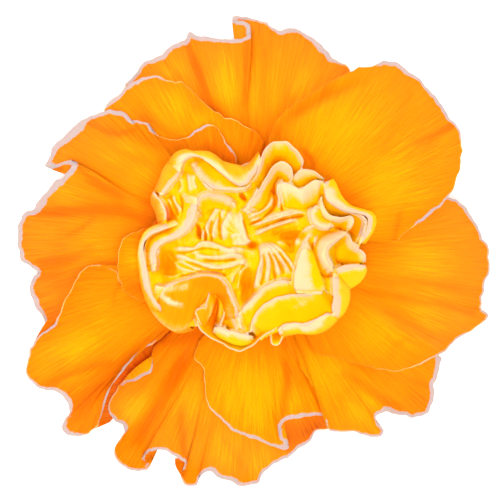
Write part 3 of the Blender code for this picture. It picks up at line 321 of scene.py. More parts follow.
# The width of a guard petal's pale margin at places on its edge: x, y and width
MARGINS = {
    "petal_top": [(-22.9, 29, 0.2), (-22, 30.2, 0.8), (-16, 34.9, 0.9), (-11.2, 39, 1), (-7.6, 38, 0.7),
        (-1.3, 37.8, 0.8), (-3.2, 41.7, 0.6), (2.3, 40.7, 0.3), (5, 39, 0.7), (7.2, 39.4, 0.9),
        (9.2, 38.9, 0.6), (12.2, 36.7, 0.9), (14, 34.7, 0.8), (15.8, 33.3, 0.35), (17.6, 31.7, 0.05)],
    "petal_bottom_left": [(-13, -14, 0), (-18.4, -22, 0), (-23.4, -24.3, 0.1), (-24.7, -25.6, 0.25),
        (-25.6, -28, 0.25), (-25.9, -29.8, 0.35), (-25, -30.8, 0.6), (-23.4, -32.3, 0.7),
        (-22.9, -33.6, 0.55), (-23.8, -34.9, 0.25), (-24.8, -36.6, 0.15), (-24.9, -37.6, 0.35),
        (-22, -40.1, 0.5), (-19.3, -40.4, 0.4), (-19.9, -38.4, 0.4), (-18.3, -36.5, 0.6),
        (-13.9, -37.4, 0.6), (-12.1, -38.7, 0.5), (-12.9, -40.9, 0.25), (-11.2, -42.9, 0.4),
        (-9.9, -42.7, 0.5), (-9.3, -41.4, 0.8), (-7.6, -40.1, 0.9), (-3.1, -42.5, 0.8), (-1.3, -43, 0.8),
        (1.1, -42.3, 0.6), (3.2, -39.5, 0.6), (9, -36, 0.5), (11.6, -32.9, 0.3), (13.6, -32.2, 0)],
    "petal_upper_left": [(-27, 24, 0), (-25.2, 26.3, 0.7), (-21, 30, 0.7), (-18.4, 30.8, 0.4),
        (-15.7, 30.2, 0.2), (-12.6, 29.9, 0.15), (-8.5, 26.1, 0.1), (-2.2, 22.5, 0.15), (1, 20, 0)],
    "petal_bottom": [(-8, -15, 0), (-10.3, -19.3, 0.1), (-8.8, -21.6, 0.2), (-8.1, -27.4, 0.2),
        (-4.9, -31.5, 0.4), (-2.2, -33.3, 0.6), (3.2, -35.3, 0.5), (5.9, -36.4, 0.7), (5.2, -34.2, 0.6),
        (4.7, -32.6, 0.7), (8.6, -30.4, 0.8), (11.3, -29.9, 0.7), (13.1, -30.2, 0.5), (13.5, -31.6, 0.2),
        (13, -27, 0)],
    "petal_left": [(-2.7, 15, 0.1), (-4, 17.6, 0.5), (-4.9, 18.9, 0.35), (-6.3, 21.2, 0.05),
        (-8.5, 21.8, 0.4), (-10.5, 20.7, 0.4), (-12, 19.5, 0.1), (-16.6, 20, 0.1), (-18.7, 22.3, 0.5),
        (-22.9, 24.3, 0.6), (-25.2, 24.6, 0.9), (-28.2, 23.8, 0.7), (-30.4, 23.1, 0.7), (-31.8, 22.1, 1.5),
        (-32.9, 21, 1.9), (-34.5, 19.3, 1.4), (-35.6, 18.2, 1), (-37.1, 14.7, 0.7), (-34.8, 15.3, 0.6),
        (-32.2, 15.5, 0.9), (-34.2, 12.6, 1), (-35.5, 11.9, 1.3), (-37.4, 9.8, 1), (-38.7, 8.2, 1.2),
        (-40.7, 6.5, 1), (-41.8, 4.7, 0.8), (-41.9, -0.4, 0.7), (-38.5, -4.3, 0.6), (-40.1, -7.9, 0.8),
        (-38.2, -11.5, 0.8), (-37.3, -13, 0.5), (-36.4, -14.4, 0)],
    "petal_bottom_right": [(12.5, -28, 0), (13.2, -31.4, 0.05), (14.4, -32.8, 0.5), (15.8, -33.1, 0.25),
        (18.5, -33.1, 0.3), (20.3, -33.8, 0.4), (22.5, -34, 0.6), (23.8, -33.1, 0.5), (22.3, -31, 0.4),
        (24.5, -29.3, 1), (27, -30, 0.7), (31.1, -29.9, 0.6), (32.6, -24.7, 0.9), (33.8, -20.5, 0.7),
        (33, -19, 0)],
    "petal_lower_left": [(-20.5, -8.7, 0), (-24.3, -4.3, 0.15), (-27.4, -3.1, 0.3), (-30.4, -4, 0.2),
        (-33.5, -9.4, 0.15), (-34.8, -12.2, 0.3), (-37.6, -15.1, 0.45), (-38.8, -16.4, 0.3),
        (-40.3, -22.9, 0.3), (-39.1, -24.3, 0.5), (-35.5, -25.7, 0.8), (-33.3, -27.7, 0.8),
        (-32.8, -29.5, 0.5), (-33.5, -30.6, 0.3), (-33.7, -33.1, 0.9), (-31.9, -33.8, 0.8),
        (-30.1, -33.5, 0.25), (-27.9, -32.2, 0.25), (-27.2, -30.6, 0.4), (-25.9, -25.9, 0.32),
        (-24.1, -22.9, 0.4), (-22.3, -20.5, 0.45), (-20.2, -18.4, 0.5), (-18.6, -17.4, 0.3),
        (-17.5, -16.9, 0)],
    "petal_right": [(33, 9, 0), (35.1, 9.2, 0.3), (37.4, 8.1, 0.6), (40.7, 4, 0.5), (42.5, 0.5, 0.3),
        (42.8, -2.2, 0.25), (41.8, -6.7, 0.35), (42.5, -11.9, 0.35), (40.1, -14.6, 0.2),
        (37.4, -16.2, 0.35), (33.5, -19.3, 0.35), (30.2, -20.9, 0.25), (25.7, -22, 0.15),
        (20.3, -21.1, 0)],
    "petal_top_right": [(17.6, 31.7, 0), (21.5, 32.6, 0.1), (23.9, 33.7, 0.7), (27.9, 32, 0.9),
        (30.8, 29.8, 0.4), (32.8, 27.3, 0.6), (35.7, 23.4, 0.5), (37.3, 21.2, 0.4), (37.6, 17.6, 0.12),
        (36.4, 11.6, 0.12), (35.1, 9.2, 0.3), (32.8, 6.8, 0.6), (30.4, 5, 0.5), (27.9, 3.3, 0.08),
        (22, 1.2, 0)],
    "petal_inner_left": [(-16.3, 5, 0), (-20, 3.2, 0.1), (-23, 1.6, 0.12), (-23.8, -3, 0.06),
        (-22, -7.8, 0)],
}

# Painted shade on a guard petal, along folds, under curls and beside the heart and overlapping petals,
# with painted light where the strength is below nothing: how dark, half width and line
SHADES = {
    "petal_top": [
        (0.25, 0.5, [(-11.8, 37), (-9.3, 31), (-7.8, 27.4), (-6.7, 24)]),
        (0.25, 0.45, [(-0.9, 37), (-1.2, 26)]), (0.3, 0.4, [(-16, 34), (-13, 30.6)]),
        (0.3, 2, [(-6, 24), (0, 21)])],
    "petal_bottom_left": [
        (0.65, 2.4, [(6.5, -34), (9.5, -33.2), (12.5, -31.8)]), (0.6, 0.7, [(-18.9, -38.2), (-18, -37.4)]),
        (0.6, 0.6, [(-12.8, -39.6), (-12.6, -40.8)]),
        (0.2, 0.5, [(-12.4, -30), (-13, -33.8), (-11.9, -37.9)]),
        (0.5, 1.4, [(-10.5, -15.5), (-15, -16.5)])],
    "petal_upper_left": [(0.3, 0.9, [(-19.5, 23.5), (-13, 19.5), (-6, 17)])],
    "petal_bottom": [
        (0.22, 1.7, [(7.5, -22.5), (8.6, -26), (9, -29.5)]),
        (0.2, 0.5, [(6, -20.5), (6.3, -24.3), (5.6, -28.7), (5.1, -31.6)])],
    "petal_left": [
        (0.15, 0.5, [(-41, 6.1), (-34, 6.8), (-27, 7)]), (0.6, 0.7, [(-36.4, 14.3), (-34.6, 14.1)]),
        (0.35, 0.45, [(-29, 22.3), (-26.4, 21), (-24.1, 20.3), (-20.8, 21.3)]),
        (0.15, 0.9, [(-32, 15.6), (-30, 13.4), (-28.2, 12), (-24.1, 9.5)]),
        (0.25, 2, [(-18.5, 9), (-17.5, 4)]), (0.25, 0.8, [(-38, -2.5), (-33, -2), (-29, 0)]),
        (0.25, 0.4, [(-33, 2.2), (-30.6, 3.6), (-28.4, 5.3)]), (0.45, 1.1, [(-8, 17.6), (-4.6, 15.4)]),
        (0.25, 3.5, [(-38, 3.5), (-33, 1), (-35, -4)]),
        (-0.25, 1.8, [(-21, 8), (-18.5, 6)])],
    "petal_bottom_right": [
        (0.15, 0.5, [(16.3, -22.7), (21.5, -25), (26.3, -28.2)]), (0.25, 3, [(30, -23), (30.5, -27)]),
        (0.25, 2.5, [(25, -23.5), (28, -25.5)])],
    "petal_lower_left": [
        (0.2, 0.5, [(-37.4, -24.9), (-34.4, -23.2), (-30, -22), (-25.5, -20.6)]),
        (0.2, 0.6, [(-32, -28.6), (-29.6, -26.2), (-26.6, -24.2)]),
        (0.4, 0.8, [(-25.6, -26.2), (-24.4, -23), (-21.6, -19.4), (-18.5, -16.6), (-15.5, -15)]),
        (0.25, 0.5, [(-23.6, -6.6), (-24.6, -8.2), (-24.7, -9.8)]), (0.2, 3, [(-31, -27), (-27, -22)])],
    "petal_right": [
        (0.15, 0.45, [(33.2, -9.8), (39.8, -11.8)]), (0.12, 0.45, [(30.1, -6.1), (41.3, -8.1)]),
        (0.12, 0.45, [(24, -11.3), (32.1, -15.9)])],
    "petal_top_right": [
        (0.3, 0.5, [(35.5, 22), (29.5, 18.8)]), (0.3, 0.4, [(26.3, 5.9), (25.5, 1.6)]),
        (0.5, 0.5, [(9.1, 17.5), (10.6, 16), (11, 14.6)]), (0.3, 1.5, [(17, 10.2), (19.5, 8)]),
        (0.25, 1.2, [(4.6, 21), (8, 25), (14, 28.6)])],
    "petal_inner_left": [(0.35, 1.8, [(-21, -6.5), (-19, -8)])],
}

# Parts of a guard petal that are turned over or lie lower: how far the edge and the inner line lie
# above the petal's own slope, the tones there (low on parts that lie lower, as painted shade), the
# margin's width, the edge and the inner line
FLAPS = {
    "petal_bottom_left": [
        (2.4, 1.8, 0.95, 0.7, 0.5, [
            (-17.8, -20.3), (-17.8, -21.4), (-18.2, -22.4), (-19.4, -22.9), (-20.8, -23.8), (-22.4, -24.1),
            (-23.3, -24.8)], [
            (-17.6, -19.2), (-18.4, -19.6), (-19.6, -20.4), (-20.9, -21.4), (-22.2, -22.7), (-23.1, -23.8),
            (-23.6, -24.6)]),
        (-0.6, -0.9, -0.3, -0.3, 0, [
            (-12.6, -13.4), (-16, -15.1), (-19.4, -17.2), (-22, -19.7), (-24.2, -22.4), (-25.8, -25.2),
            (-26.9, -28), (-27.6, -30.6), (-27.9, -32.4)], [
            (-12.6, -15.6), (-14.6, -18.4), (-17, -20.8), (-19.6, -22.6), (-22, -24), (-23.4, -26),
            (-24.4, -28), (-24.6, -30), (-25.6, -31.4)]),
        (-0.6, -0.6, -0.2, -0.2, 0, [
            (-13.9, -38), (-13.8, -39.2), (-13.2, -40.4), (-12.6, -41.3)], [
            (-12.4, -37.6), (-11.9, -38.8), (-11.8, -39.8), (-12.2, -40.8)])],
    "petal_lower_left": [
        (-1, -0.8, -0.15, -0.15, 0, [
            (-36.6, -12.8), (-37.2, -13.6), (-38.1, -15), (-38.8, -16.3), (-39.4, -17.6)], [
            (-34.4, -12.4), (-35, -13.8), (-36.4, -15.4), (-37.6, -16.6), (-38.4, -17.8)])],
}

# How a guard petal's rays bend aside on their way to places on its edge: x, y and the bend
BENDS = {
    "petal_lower_left": [
        (-34.2, -32, 0, 0), (-31.9, -33.8, -4, 1.5), (-30.1, -33.5, -7, 2.8), (-27.9, -32.2, -7.8, 3.2),
        (-27.2, -30.6, -7.4, 3), (-26.8, -28.3, -5.5, 2.4), (-25.9, -25.9, -3.2, 1.4),
        (-24.1, -22.9, -0.8, 0.4), (-22.3, -20.5, 0, 0)],
}

# Creases of the guard petals, which also darken the tone as painted shade, and brighten it as painted
# light where the depth is below nothing: depth, width and line, from the edge inwards
CREASES = {
    "petal_top": [
        (1.1, 1.1, [(-11.8, 37.6), (-9.5, 31.1), (-8.3, 26.3), (-5.5, 23)]),
        (0.7, 0.9, [(-0.9, 38), (-1.2, 30.3), (-1.4, 23)]),
        (0.5, 1.4, [(2.6, 40), (1.8, 30.3), (3.4, 20)]),
        (0.25, 0.35, [(-15.8, 34.3), (-12.9, 30.9)]),
        (0.3, 0.8, [(10.3, 37.5), (5.4, 25.4)]),
        (-0.5, 2.2, [(-5.5, 37), (-4.2, 24)])],
    "petal_bottom_left": [
        (2.6, 1.2, [(-10.1, -16.4), (-12.9, -21), (-15.8, -26.2), (-19, -31.4), (-20.9, -35)]),
        (0.8, 0.8, [(-12.4, -26), (-12.9, -31.4), (-12.1, -34.8), (-11.8, -38)]),
        (0.4, 0.9, [(-7.2, -31), (-8.4, -36), (-9, -40)]),
        (0.5, 0.9, [(-6, -33), (-3.2, -37), (-1, -41)]),
        (-0.7, 1.8, [(-15, -24), (-19.5, -28.5), (-23, -32)])],
    "petal_upper_left": [
        (0.3, 0.5, [(-18.7, 28), (-15.5, 23.4)]),
        (0.3, 0.5, [(-16.2, 26.6), (-12.8, 21.5)]),
        (0.6, 1.4, [(-21.5, 26), (-17, 22.4)])],
    "petal_bottom": [
        (1, 1, [(5.1, -17.6), (6.5, -22.2), (6.1, -26.5), (5.1, -31.4)]),
        (0.3, 0.7, [(-3, -22), (-1.5, -31)])],
    "petal_left": [
        (1.3, 1.3, [(-40.6, 6.1), (-34, 6.6), (-29.3, 6.8), (-23.5, 6.8), (-16.7, 4.5)]),
        (0.45, 0.7, [(-28.4, 22), (-23.8, 17.1), (-20.1, 15.7), (-16.2, 14.5)]),
        (0.7, 1, [(-31.9, 14.5), (-27, 11.1), (-21.5, 8.5), (-16.4, 6.4)]),
        (0.9, 1.5, [(-28.4, 22), (-22.4, 20.6), (-16.7, 18.6), (-12, 17)]),
        (0.5, 0.5, [(-38.4, -2.4), (-36, -3), (-31, -2)]),
        (0.3, 0.5, [(-35.8, 7.8), (-35, 9)]),
        (0.35, 0.6, [(-28.6, 5), (-32, 2.5)])],
    "petal_bottom_right": [
        (0.8, 0.8, [(15.7, -20.5), (19.7, -25), (23.5, -27.1), (27.2, -29.4)]),
        (0.4, 0.8, [(18, -26.2), (20.6, -28.6), (22.6, -31)]),
        (0.4, 1, [(16, -19.5), (24, -22.8), (32, -24.4)])],
    "petal_lower_left": [
        (0.6, 0.9, [(-37.6, -24.5), (-33.9, -22.5), (-29.5, -21), (-25.3, -20.3)]),
        (0.8, 1.2, [(-31.4, -29.6), (-28.1, -25.3), (-24.7, -22), (-20, -17.5)]),
        (0.35, 0.4, [(-31.8, -31.8), (-31, -30), (-30.2, -29.2)]),
        (-0.6, 2.4, [(-36.6, -20), (-27, -15)])],
    "petal_right": [
        (0.7, 0.8, [(41, -11.4), (39.8, -11.6), (34.1, -10.1), (25.5, -8.7), (18, -7.2)]),
        (0.6, 1, [(41.6, -7.8), (31.2, -6.1), (22, -5.6)]),
        (0.5, 1.1, [(35.5, -17.4), (33.5, -16.4), (26.9, -12.7), (20, -8)]),
        (0.5, 0.7, [(24.6, -20.5), (25.5, -17.6), (27.8, -16.1)])],
    "petal_top_right": [
        (0.7, 0.8, [(37, 22.6), (34.5, 21), (31, 18.4)]),
        (0.35, 0.7, [(27.8, 29.1), (28.3, 27.4), (26.3, 23.4), (23.2, 17.1)]),
        (0.8, 0.9, [(6.4, 22.8), (12, 26.4), (19.7, 30)]),
        (0.6, 0.4, [(11, 17), (9.4, 15.4), (9, 13.6)]),
        (0.3, 0.6, [(27.3, 8.5), (26.3, 4.5), (24.6, 1.6)])],
}

# Painted light: where a guard petal is painted brightest, x, y and radius of each lit patch
LIT_PATCHES = {
    "petal_top": [(1.9, 27, 7), (-4.5, 29, 4), (9, 29, 5), (-14.5, 31.5, 3)],
    "petal_bottom_left": [(-11, -27, 4.5), (-21.5, -28.5, 3.5), (-5, -36, 4), (2, -39, 4)],
    "petal_upper_left": [(-14.4, 25.2, 4.6), (-9, 23, 3)],
    "petal_bottom": [(0, -26, 6.5), (7.5, -27.5, 3)],
    "petal_left": [(-23, 17.6, 5), (-19.5, 13.5, 4.5), (-34, 11, 4.5), (-30, 1, 6), (-37, 3, 4)],
    "petal_bottom_right": [(12.5, -22.7, 5.5), (19.5, -29, 4), (27, -23, 5)],
    "petal_lower_left": [(-31, -18.5, 6), (-25.3, -12.4, 5.5), (-37, -20, 4)],
    "petal_right": [(22.6, -14.7, 6), (31, -12, 5), (30, -3, 6)],
    "petal_top_right": [(15.4, 21.5, 7.5), (25, 12, 6), (20, 6, 4)],
    "petal_inner_left": [(-21, -2, 3)],
}

# A fold of the heart: its edge's lift above the dome, its face's drop, how far the face bows,
# its tone from orange to yellow, how far cream and blush reach from the edge, the edge's plan and
# the plan of the line that the face runs down to
FOLDS = {
    "collar_left": (0, 4.8, 0.9, 0.2, 2, 1.9, [
        (-13, 4.2), (-15.5, 3.3), (-17.5, 2.6), (-18.6, 1.8), (-19.2, 0.8), (-19.3, -0.5), (-19, -2),
        (-18.6, -4), (-18.3, -6), (-17.8, -8), (-17, -9.5), (-15.8, -10.7), (-14.4, -11.5),
        (-12.6, -11.8)], [
        (-14, 5.2), (-17, 4.1), (-18.9, 3), (-19.8, 1.4), (-20.2, -0.3), (-20.3, -2), (-20.1, -4),
        (-19.8, -6), (-19.1, -8.8), (-18, -11), (-16.4, -13), (-14.6, -14.5), (-12.8, -15.1),
        (-10.6, -14.6)]),
    "ridge_left": (0.7, 4.2, 0.5, 0.6, 2.6, 1.4, [
        (-9.8, 8.9), (-9.8, 7.5), (-9.9, 6.4), (-10.3, 4.9), (-11.2, 3.4), (-12.6, 2.2), (-14, 1.6),
        (-15.5, 1), (-16.6, 0.2), (-17, -0.9), (-16.9, -2.6), (-17.2, -4)], [
        (-12, 9.3), (-12.1, 7.4), (-12.3, 6), (-13, 4.8), (-14, 3.9), (-15.2, 3.2), (-16.4, 2.7),
        (-17.6, 2), (-18.4, 0.9), (-18.7, -0.5), (-18.7, -2.4), (-18.6, -4)]),
    "ridge_upper": (0.4, 3.4, -0.4, 0.8, 2.8, 0.5, [
        (-9.9, 7), (-9.7, 8.4), (-9, 9.4), (-8, 9.7), (-6.8, 9.6), (-5.5, 9.2), (-4.2, 8.6), (-3, 7.8)], [
        (-8.6, 5.8), (-8.2, 6.6), (-7.6, 7), (-7, 7.2), (-6.2, 7.1), (-5.4, 7), (-4.7, 6.8), (-4, 6.4)]),
    "collar_upper": (-0.4, 5, 0.8, 0.4, 2.8, 0.8, [
        (-12.8, 13.8), (-12.2, 15.2), (-11.3, 16), (-10.2, 16.3), (-9, 16.1), (-8, 15.6), (-7, 14.7),
        (-6, 13.7), (-4.8, 12.7), (-3.4, 11.6), (-2, 11), (-0.8, 11.5), (0.2, 12.8), (1, 14.4),
        (1.5, 16)], [
        (-15.6, 13), (-14.9, 15.2), (-13.6, 16.9), (-12, 17.5), (-10.6, 17.2), (-9.2, 17.2), (-7.8, 17.1),
        (-6.6, 16.5), (-5.4, 15.5), (-4, 15), (-2.6, 14.7), (-1.3, 14.5), (-0.3, 15.2), (0.5, 16.2),
        (1.2, 17)]),
    "collar_upper_side": (-0.9, 5, 0.7, 0.1, 0.8, 0.5, [
        (-16, 9.4), (-15.2, 10.3), (-14.2, 11.4), (-13.2, 12.6), (-12.5, 13.8)], [
        (-17.5, 10), (-17, 11), (-16.4, 12.4), (-15.8, 14), (-14.9, 15.4)]),
    "collar_outer_left": (-1.8, 4, 0.5, 0.05, 0.5, 0.4, [
        (-17.5, 10), (-16.9, 9.2), (-16.2, 8.5), (-15.6, 7.4), (-15.2, 6), (-15.2, 4.6)], [
        (-18, 9), (-17.9, 8), (-17.4, 7), (-17, 6), (-16.8, 5), (-16.6, 4)]),
    "fold_upper": (0.4, 3.6, -0.3, 0.85, 3, 0.7, [
        (-10.5, 14.7), (-9.9, 13.8), (-9, 12.5), (-7.8, 11.2), (-6.6, 10.6), (-5.2, 10.4), (-3.8, 10.4),
        (-2.4, 10.3), (-1.2, 10.5), (-0.3, 11.3)], [
        (-9.8, 16.2), (-9, 15.8), (-8, 15.2), (-6.8, 14.2), (-5.6, 13.3), (-4.6, 12.5), (-3.6, 11.9),
        (-2.6, 11.5), (-1.6, 11.4), (-0.6, 12.2)]),
    "lobe_top": (-0.3, 3.2, -0.4, 0.8, 1.6, 0.7, [
        (0.1, 12), (1, 13.6), (1.5, 15.2), (1.9, 16.8), (2.6, 18), (3.6, 18.8), (5, 19), (6.3, 18.8),
        (7.5, 17.9), (8.6, 16.6), (9.1, 15.4), (8.7, 14)], [
        (1.3, 10.6), (2.2, 12), (3, 13.2), (3.6, 13.9), (4.2, 14.3), (4.8, 14.5), (5.4, 14.5), (6, 14.4),
        (6.6, 14.1), (7.2, 13.5), (7.7, 12.8), (7.7, 12)]),
    "ridge_top": (0.8, 3.5, -0.1, 0.9, 3, 0.4, [
        (-1.6, 6.7), (-0.4, 7.5), (0.5, 8.8), (1.6, 11), (2.6, 12.6), (3.3, 13.8), (4.2, 14.9),
        (5.3, 15.3), (6.3, 14.9), (7.1, 13.9), (7.2, 12.6), (6.6, 11.5)], [
        (0.6, 6.4), (1.3, 6.9), (2, 7.8), (2.8, 9.6), (3.5, 11), (4, 12), (4.5, 12.7), (5, 12.8),
        (5.4, 12.5), (5.7, 12), (5.8, 11.4), (5.6, 10.7)]),
    "lobe_upper_right": (-0.1, 2.4, -0.3, 1.1, 3.2, 0.5, [
        (7.2, 12), (7.6, 13), (8.5, 13.8), (9.8, 14), (11, 13.6), (12, 13), (12.9, 12.4)], [
        (7.8, 10.4), (8.4, 10.8), (9.2, 11.1), (10, 11.3), (10.9, 11.5), (11.8, 11.4), (12.6, 11.2)]),
    "face_upper_right": (0.6, 3, 0.3, 0.8, 4.2, 0.2, [
        (4.4, 11.2), (5.4, 11.6), (6.6, 11.5), (7.8, 10.8), (8.8, 10.4), (9.7, 11.2), (10.7, 11.9),
        (11.8, 12.1), (12.8, 12)], [
        (5.4, 7.6), (6.2, 7.3), (7.2, 7.2), (8.2, 7.1), (9.2, 7.2), (10.3, 7.3), (11.3, 7.6), (12, 8),
        (12.4, 8.6)]),
    "collar_right": (0.2, 4.6, 0.7, 0.85, 3.6, 1, [
        (12.8, 11.6), (12.9, 10), (13.4, 8.6), (14.6, 7.6), (16, 6.8), (17.5, 6.4), (19, 6.1), (20.2, 5.7),
        (20.7, 5), (20.6, 4.1), (20.2, 3.1), (19.7, 2.2), (19.1, 1)], [
        (14.4, 12.3), (15, 11.3), (15.6, 9.8), (16.4, 8.6), (17.6, 7.5), (19, 7), (20.5, 6.6), (21.5, 6.2),
        (22, 5.4), (22, 4.2), (21.5, 2.8), (20.8, 1.8), (20.2, 0.8)]),
    "collar_right_face": (0, 3.6, -0.4, 0.95, 1, 0.6, [
        (12.9, 11), (13.1, 9.6), (13.8, 8.4), (15, 7.5), (16.5, 6.7), (17.9, 6.2), (19, 5.8), (19.7, 5.1),
        (19.8, 4.2), (19.4, 2.8), (18.5, 1)], [
        (12, 8.6), (12.2, 7.6), (12.8, 6.6), (13.8, 5.7), (15, 5.1), (16.2, 4.8), (17.2, 4.7), (17.6, 4.2),
        (17.7, 3.6), (17.4, 2.8), (17, 2)]),
    "fold_right": (0.7, 2.8, 0.3, 0.85, 2.4, 0.3, [
        (12.4, 9.2), (12.5, 7.9), (13, 6.7), (13.9, 5.8), (15, 5.5), (16.4, 5.5), (17.6, 5.7), (18.1, 5),
        (17.9, 4), (17.4, 3.3)], [
        (11.3, 7.6), (11.4, 6.6), (12, 5.4), (12.8, 4.6), (13.8, 4.1), (14.8, 3.8), (15.5, 3.6),
        (15.9, 3.2), (15.9, 2.6), (15.6, 2)]),
    "tongue_right": (0.6, 2.6, 0.1, 0.8, 2.6, 0.2, [
        (11.2, 7.6), (10.3, 6.4), (10.4, 5.1), (11.3, 4.1), (12.4, 3.6), (13.5, 3.5), (14.5, 3.9)], [
        (13, 7), (12.5, 6.2), (12.4, 5.6), (12.7, 5.2), (13.2, 4.9), (13.8, 4.8), (14.6, 5.2)]),
    "ridge_right": (1, 3.2, 0.3, 0.85, 4.6, 0.1, [
        (17, 2.8), (16, 2.1), (15, 1.5), (13.6, 0.5), (13, -0.9), (13.5, -2.5), (14.3, -4)], [
        (14, 3.4), (13.2, 2.7), (12.4, 1.9), (11.4, 0.7), (11.2, -1.2), (11.8, -3), (12.8, -4.8)]),
    "shell_right": (0.8, 3.2, -0.4, 0.9, 3.2, 0.5, [
        (17.2, 2.6), (17.8, 1.3), (18.6, 0), (19.5, -0.4), (20.1, -1.1), (20.3, -2.4)], [
        (15, 0.6), (15, -0.6), (15.3, -1.8), (15.9, -2.9), (16.8, -3.4), (17.8, -3.6)]),
    "collar_far_right": (0.1, 4.8, 0.5, 0.75, 2, 0.6, [
        (14.6, -4), (15.4, -3.5), (16.4, -3.1), (17.6, -2.9), (18.8, -2.9), (20.1, -3)], [
        (15.6, -7), (16.5, -7.5), (17.8, -7), (19, -6.2), (19.9, -5.2), (20.5, -4)]),
    "collar_lower_right": (0.5, 5.2, 0.6, 0.6, 2.2, 2, [
        (14.4, -4.5), (14.3, -5.6), (14.4, -7), (14.5, -8.4), (14.4, -9.6), (14.2, -10.8),
        (14.4, -11.8)], [
        (16.6, -5), (17.2, -6.6), (17.4, -8), (17.3, -9.4), (16.9, -10.6), (16.4, -11.6), (15.6, -12.6)]),
    "collar_bottom": (0.1, 5.2, 0.7, 0.5, 2, 0.6, [
        (4.6, -14.4), (5.2, -13.8), (6.2, -13.4), (7.4, -13.3), (8.6, -13.4), (10, -13.2), (11.4, -12.6),
        (12.6, -12), (13.5, -11.5), (14.3, -11.8)], [
        (5.2, -16.2), (6, -15.7), (7.2, -15.4), (8.4, -15.2), (9.6, -15.3), (11.2, -15.3), (12.6, -14.9),
        (13.8, -14.2), (14.9, -13.2), (15.6, -12.4)]),
    "tab": (-1.2, 3, 0.2, 0.45, 0.6, 0.2, [
        (3.2, -15.4), (3.4, -16.6), (3.7, -17.2), (4.6, -17.3), (5.3, -16.4), (5.5, -15.6)], [
        (4, -14.2), (4.2, -14.4), (4.4, -14.6), (4.8, -14.6), (5.2, -14.4), (5.4, -14.2)]),
    "bowl": (0.6, 4.6, -0.3, 0.95, 2.2, 0.6, [
        (-0.3, -14.6), (-0.2, -13.6), (0.1, -12.5), (0.9, -11.2), (2, -10.2), (3.5, -9.2), (5, -8.6),
        (7, -8.3), (9, -8.1), (10.4, -7.8), (11.3, -7.2), (12.4, -6.9), (13.4, -7.8)], [
        (1.6, -16.4), (2, -16), (2.8, -15.6), (3.8, -15.1), (4.8, -14.8), (6, -14.5), (7.4, -14.3),
        (9, -14), (10.8, -13.6), (12.2, -13), (13.4, -12.2), (14.4, -11.2), (15, -9.4)]),
    "fold_lower": (1, 3.6, -0.2, 0.85, 2.6, 0.4, [
        (-2.4, -11.6), (-1, -10), (0, -9.1), (1, -8), (2.2, -6.9), (3.4, -6.2), (4.8, -5.8), (6.2, -5.8),
        (7.3, -6.2)], [
        (-1.4, -15), (-0.8, -13.8), (0, -12.8), (1, -11.6), (2, -10.5), (3.2, -9.6), (4.6, -9.1),
        (6.4, -8.8), (8.2, -8.6)]),
    "tongue_lower_right": (1.2, 2.9, 0.4, 0.85, 8, 0.1, [
        (9.6, 0.8), (8.8, -0.4), (8.2, -1.8), (7.8, -3.4), (7.5, -5), (7.5, -6.6), (7.9, -8)], [
        (10.6, -0.2), (11.1, -1.6), (11.5, -3), (12, -4.6), (12.5, -5.9), (12.8, -7), (12.4, -8.2)]),
    "collar_lower_left": (0.3, 4.6, 0.3, -0.02, 0.8, 0.4, [
        (-17, -6.6), (-16, -6.9), (-14.8, -6.5), (-13.4, -5.9), (-11.8, -5.4), (-10, -4.9), (-8.5, -4.7),
        (-7, -4.8), (-5.6, -5.2), (-4.6, -6.2), (-3.8, -7.6), (-3.2, -9), (-2.7, -10.6), (-2.3, -12),
        (-1.9, -14)], [
        (-18.2, -9.4), (-17.6, -11.4), (-16.4, -12.9), (-14.8, -14), (-13, -14.6), (-11.4, -13.6),
        (-10.2, -11.6), (-9, -9.8), (-7.8, -8.6), (-6.6, -8.2), (-5.8, -8.8), (-5.2, -9.8), (-4.9, -11),
        (-4.7, -12.4), (-4.4, -14.4)]),
    "frill_low": (0.2, 3.4, 0.1, 0.25, 0.3, 0.3, [
        (-10.1, -11.6), (-9.9, -10.8), (-9, -10.6), (-8.2, -10.4), (-8, -9.2), (-7.6, -7.9), (-7, -7.1),
        (-6.5, -7.1)], [
        (-8.8, -14.6), (-8.3, -13.6), (-7.9, -12.8), (-7.5, -12), (-7.2, -11), (-7, -10), (-6.7, -9.2),
        (-6.3, -8.8)]),
    "lobe_bottom": (-0.8, 4, -0.3, 0.65, 0.5, 0.3, [
        (-10.1, -11.2), (-10, -12.4), (-9.7, -13.5), (-9.3, -14.4), (-8.6, -15.2), (-7.6, -15.9),
        (-6.4, -16.5), (-5.2, -17.1), (-4, -17.9), (-2.5, -18.4), (-1.2, -18), (0.3, -17.2), (1.8, -15.9),
        (3.4, -14.8), (5, -14)], [
        (-7.6, -11.6), (-7.4, -12.4), (-7, -13.4), (-6.6, -14), (-6, -14.5), (-5.3, -14.8), (-4.5, -15),
        (-3.6, -15.3), (-2.6, -15.5), (-1.5, -15.5), (-0.5, -15.3), (0.6, -14.8), (1.8, -13.8), (3, -13),
        (4, -12.6)]),
    "band_bottom": (0.5, 3, 0.1, 0.85, 2.6, 0.4, [
        (-6.6, -13.9), (-5.6, -14.1), (-4.4, -14.4), (-3.2, -14.8), (-2, -15.2), (-1, -15.3),
        (-0.1, -15.5)], [
        (-7, -15), (-6, -15.8), (-4.8, -16.4), (-3.4, -17), (-2, -17.3), (-0.7, -17.1), (0.6, -16.4)]),
}

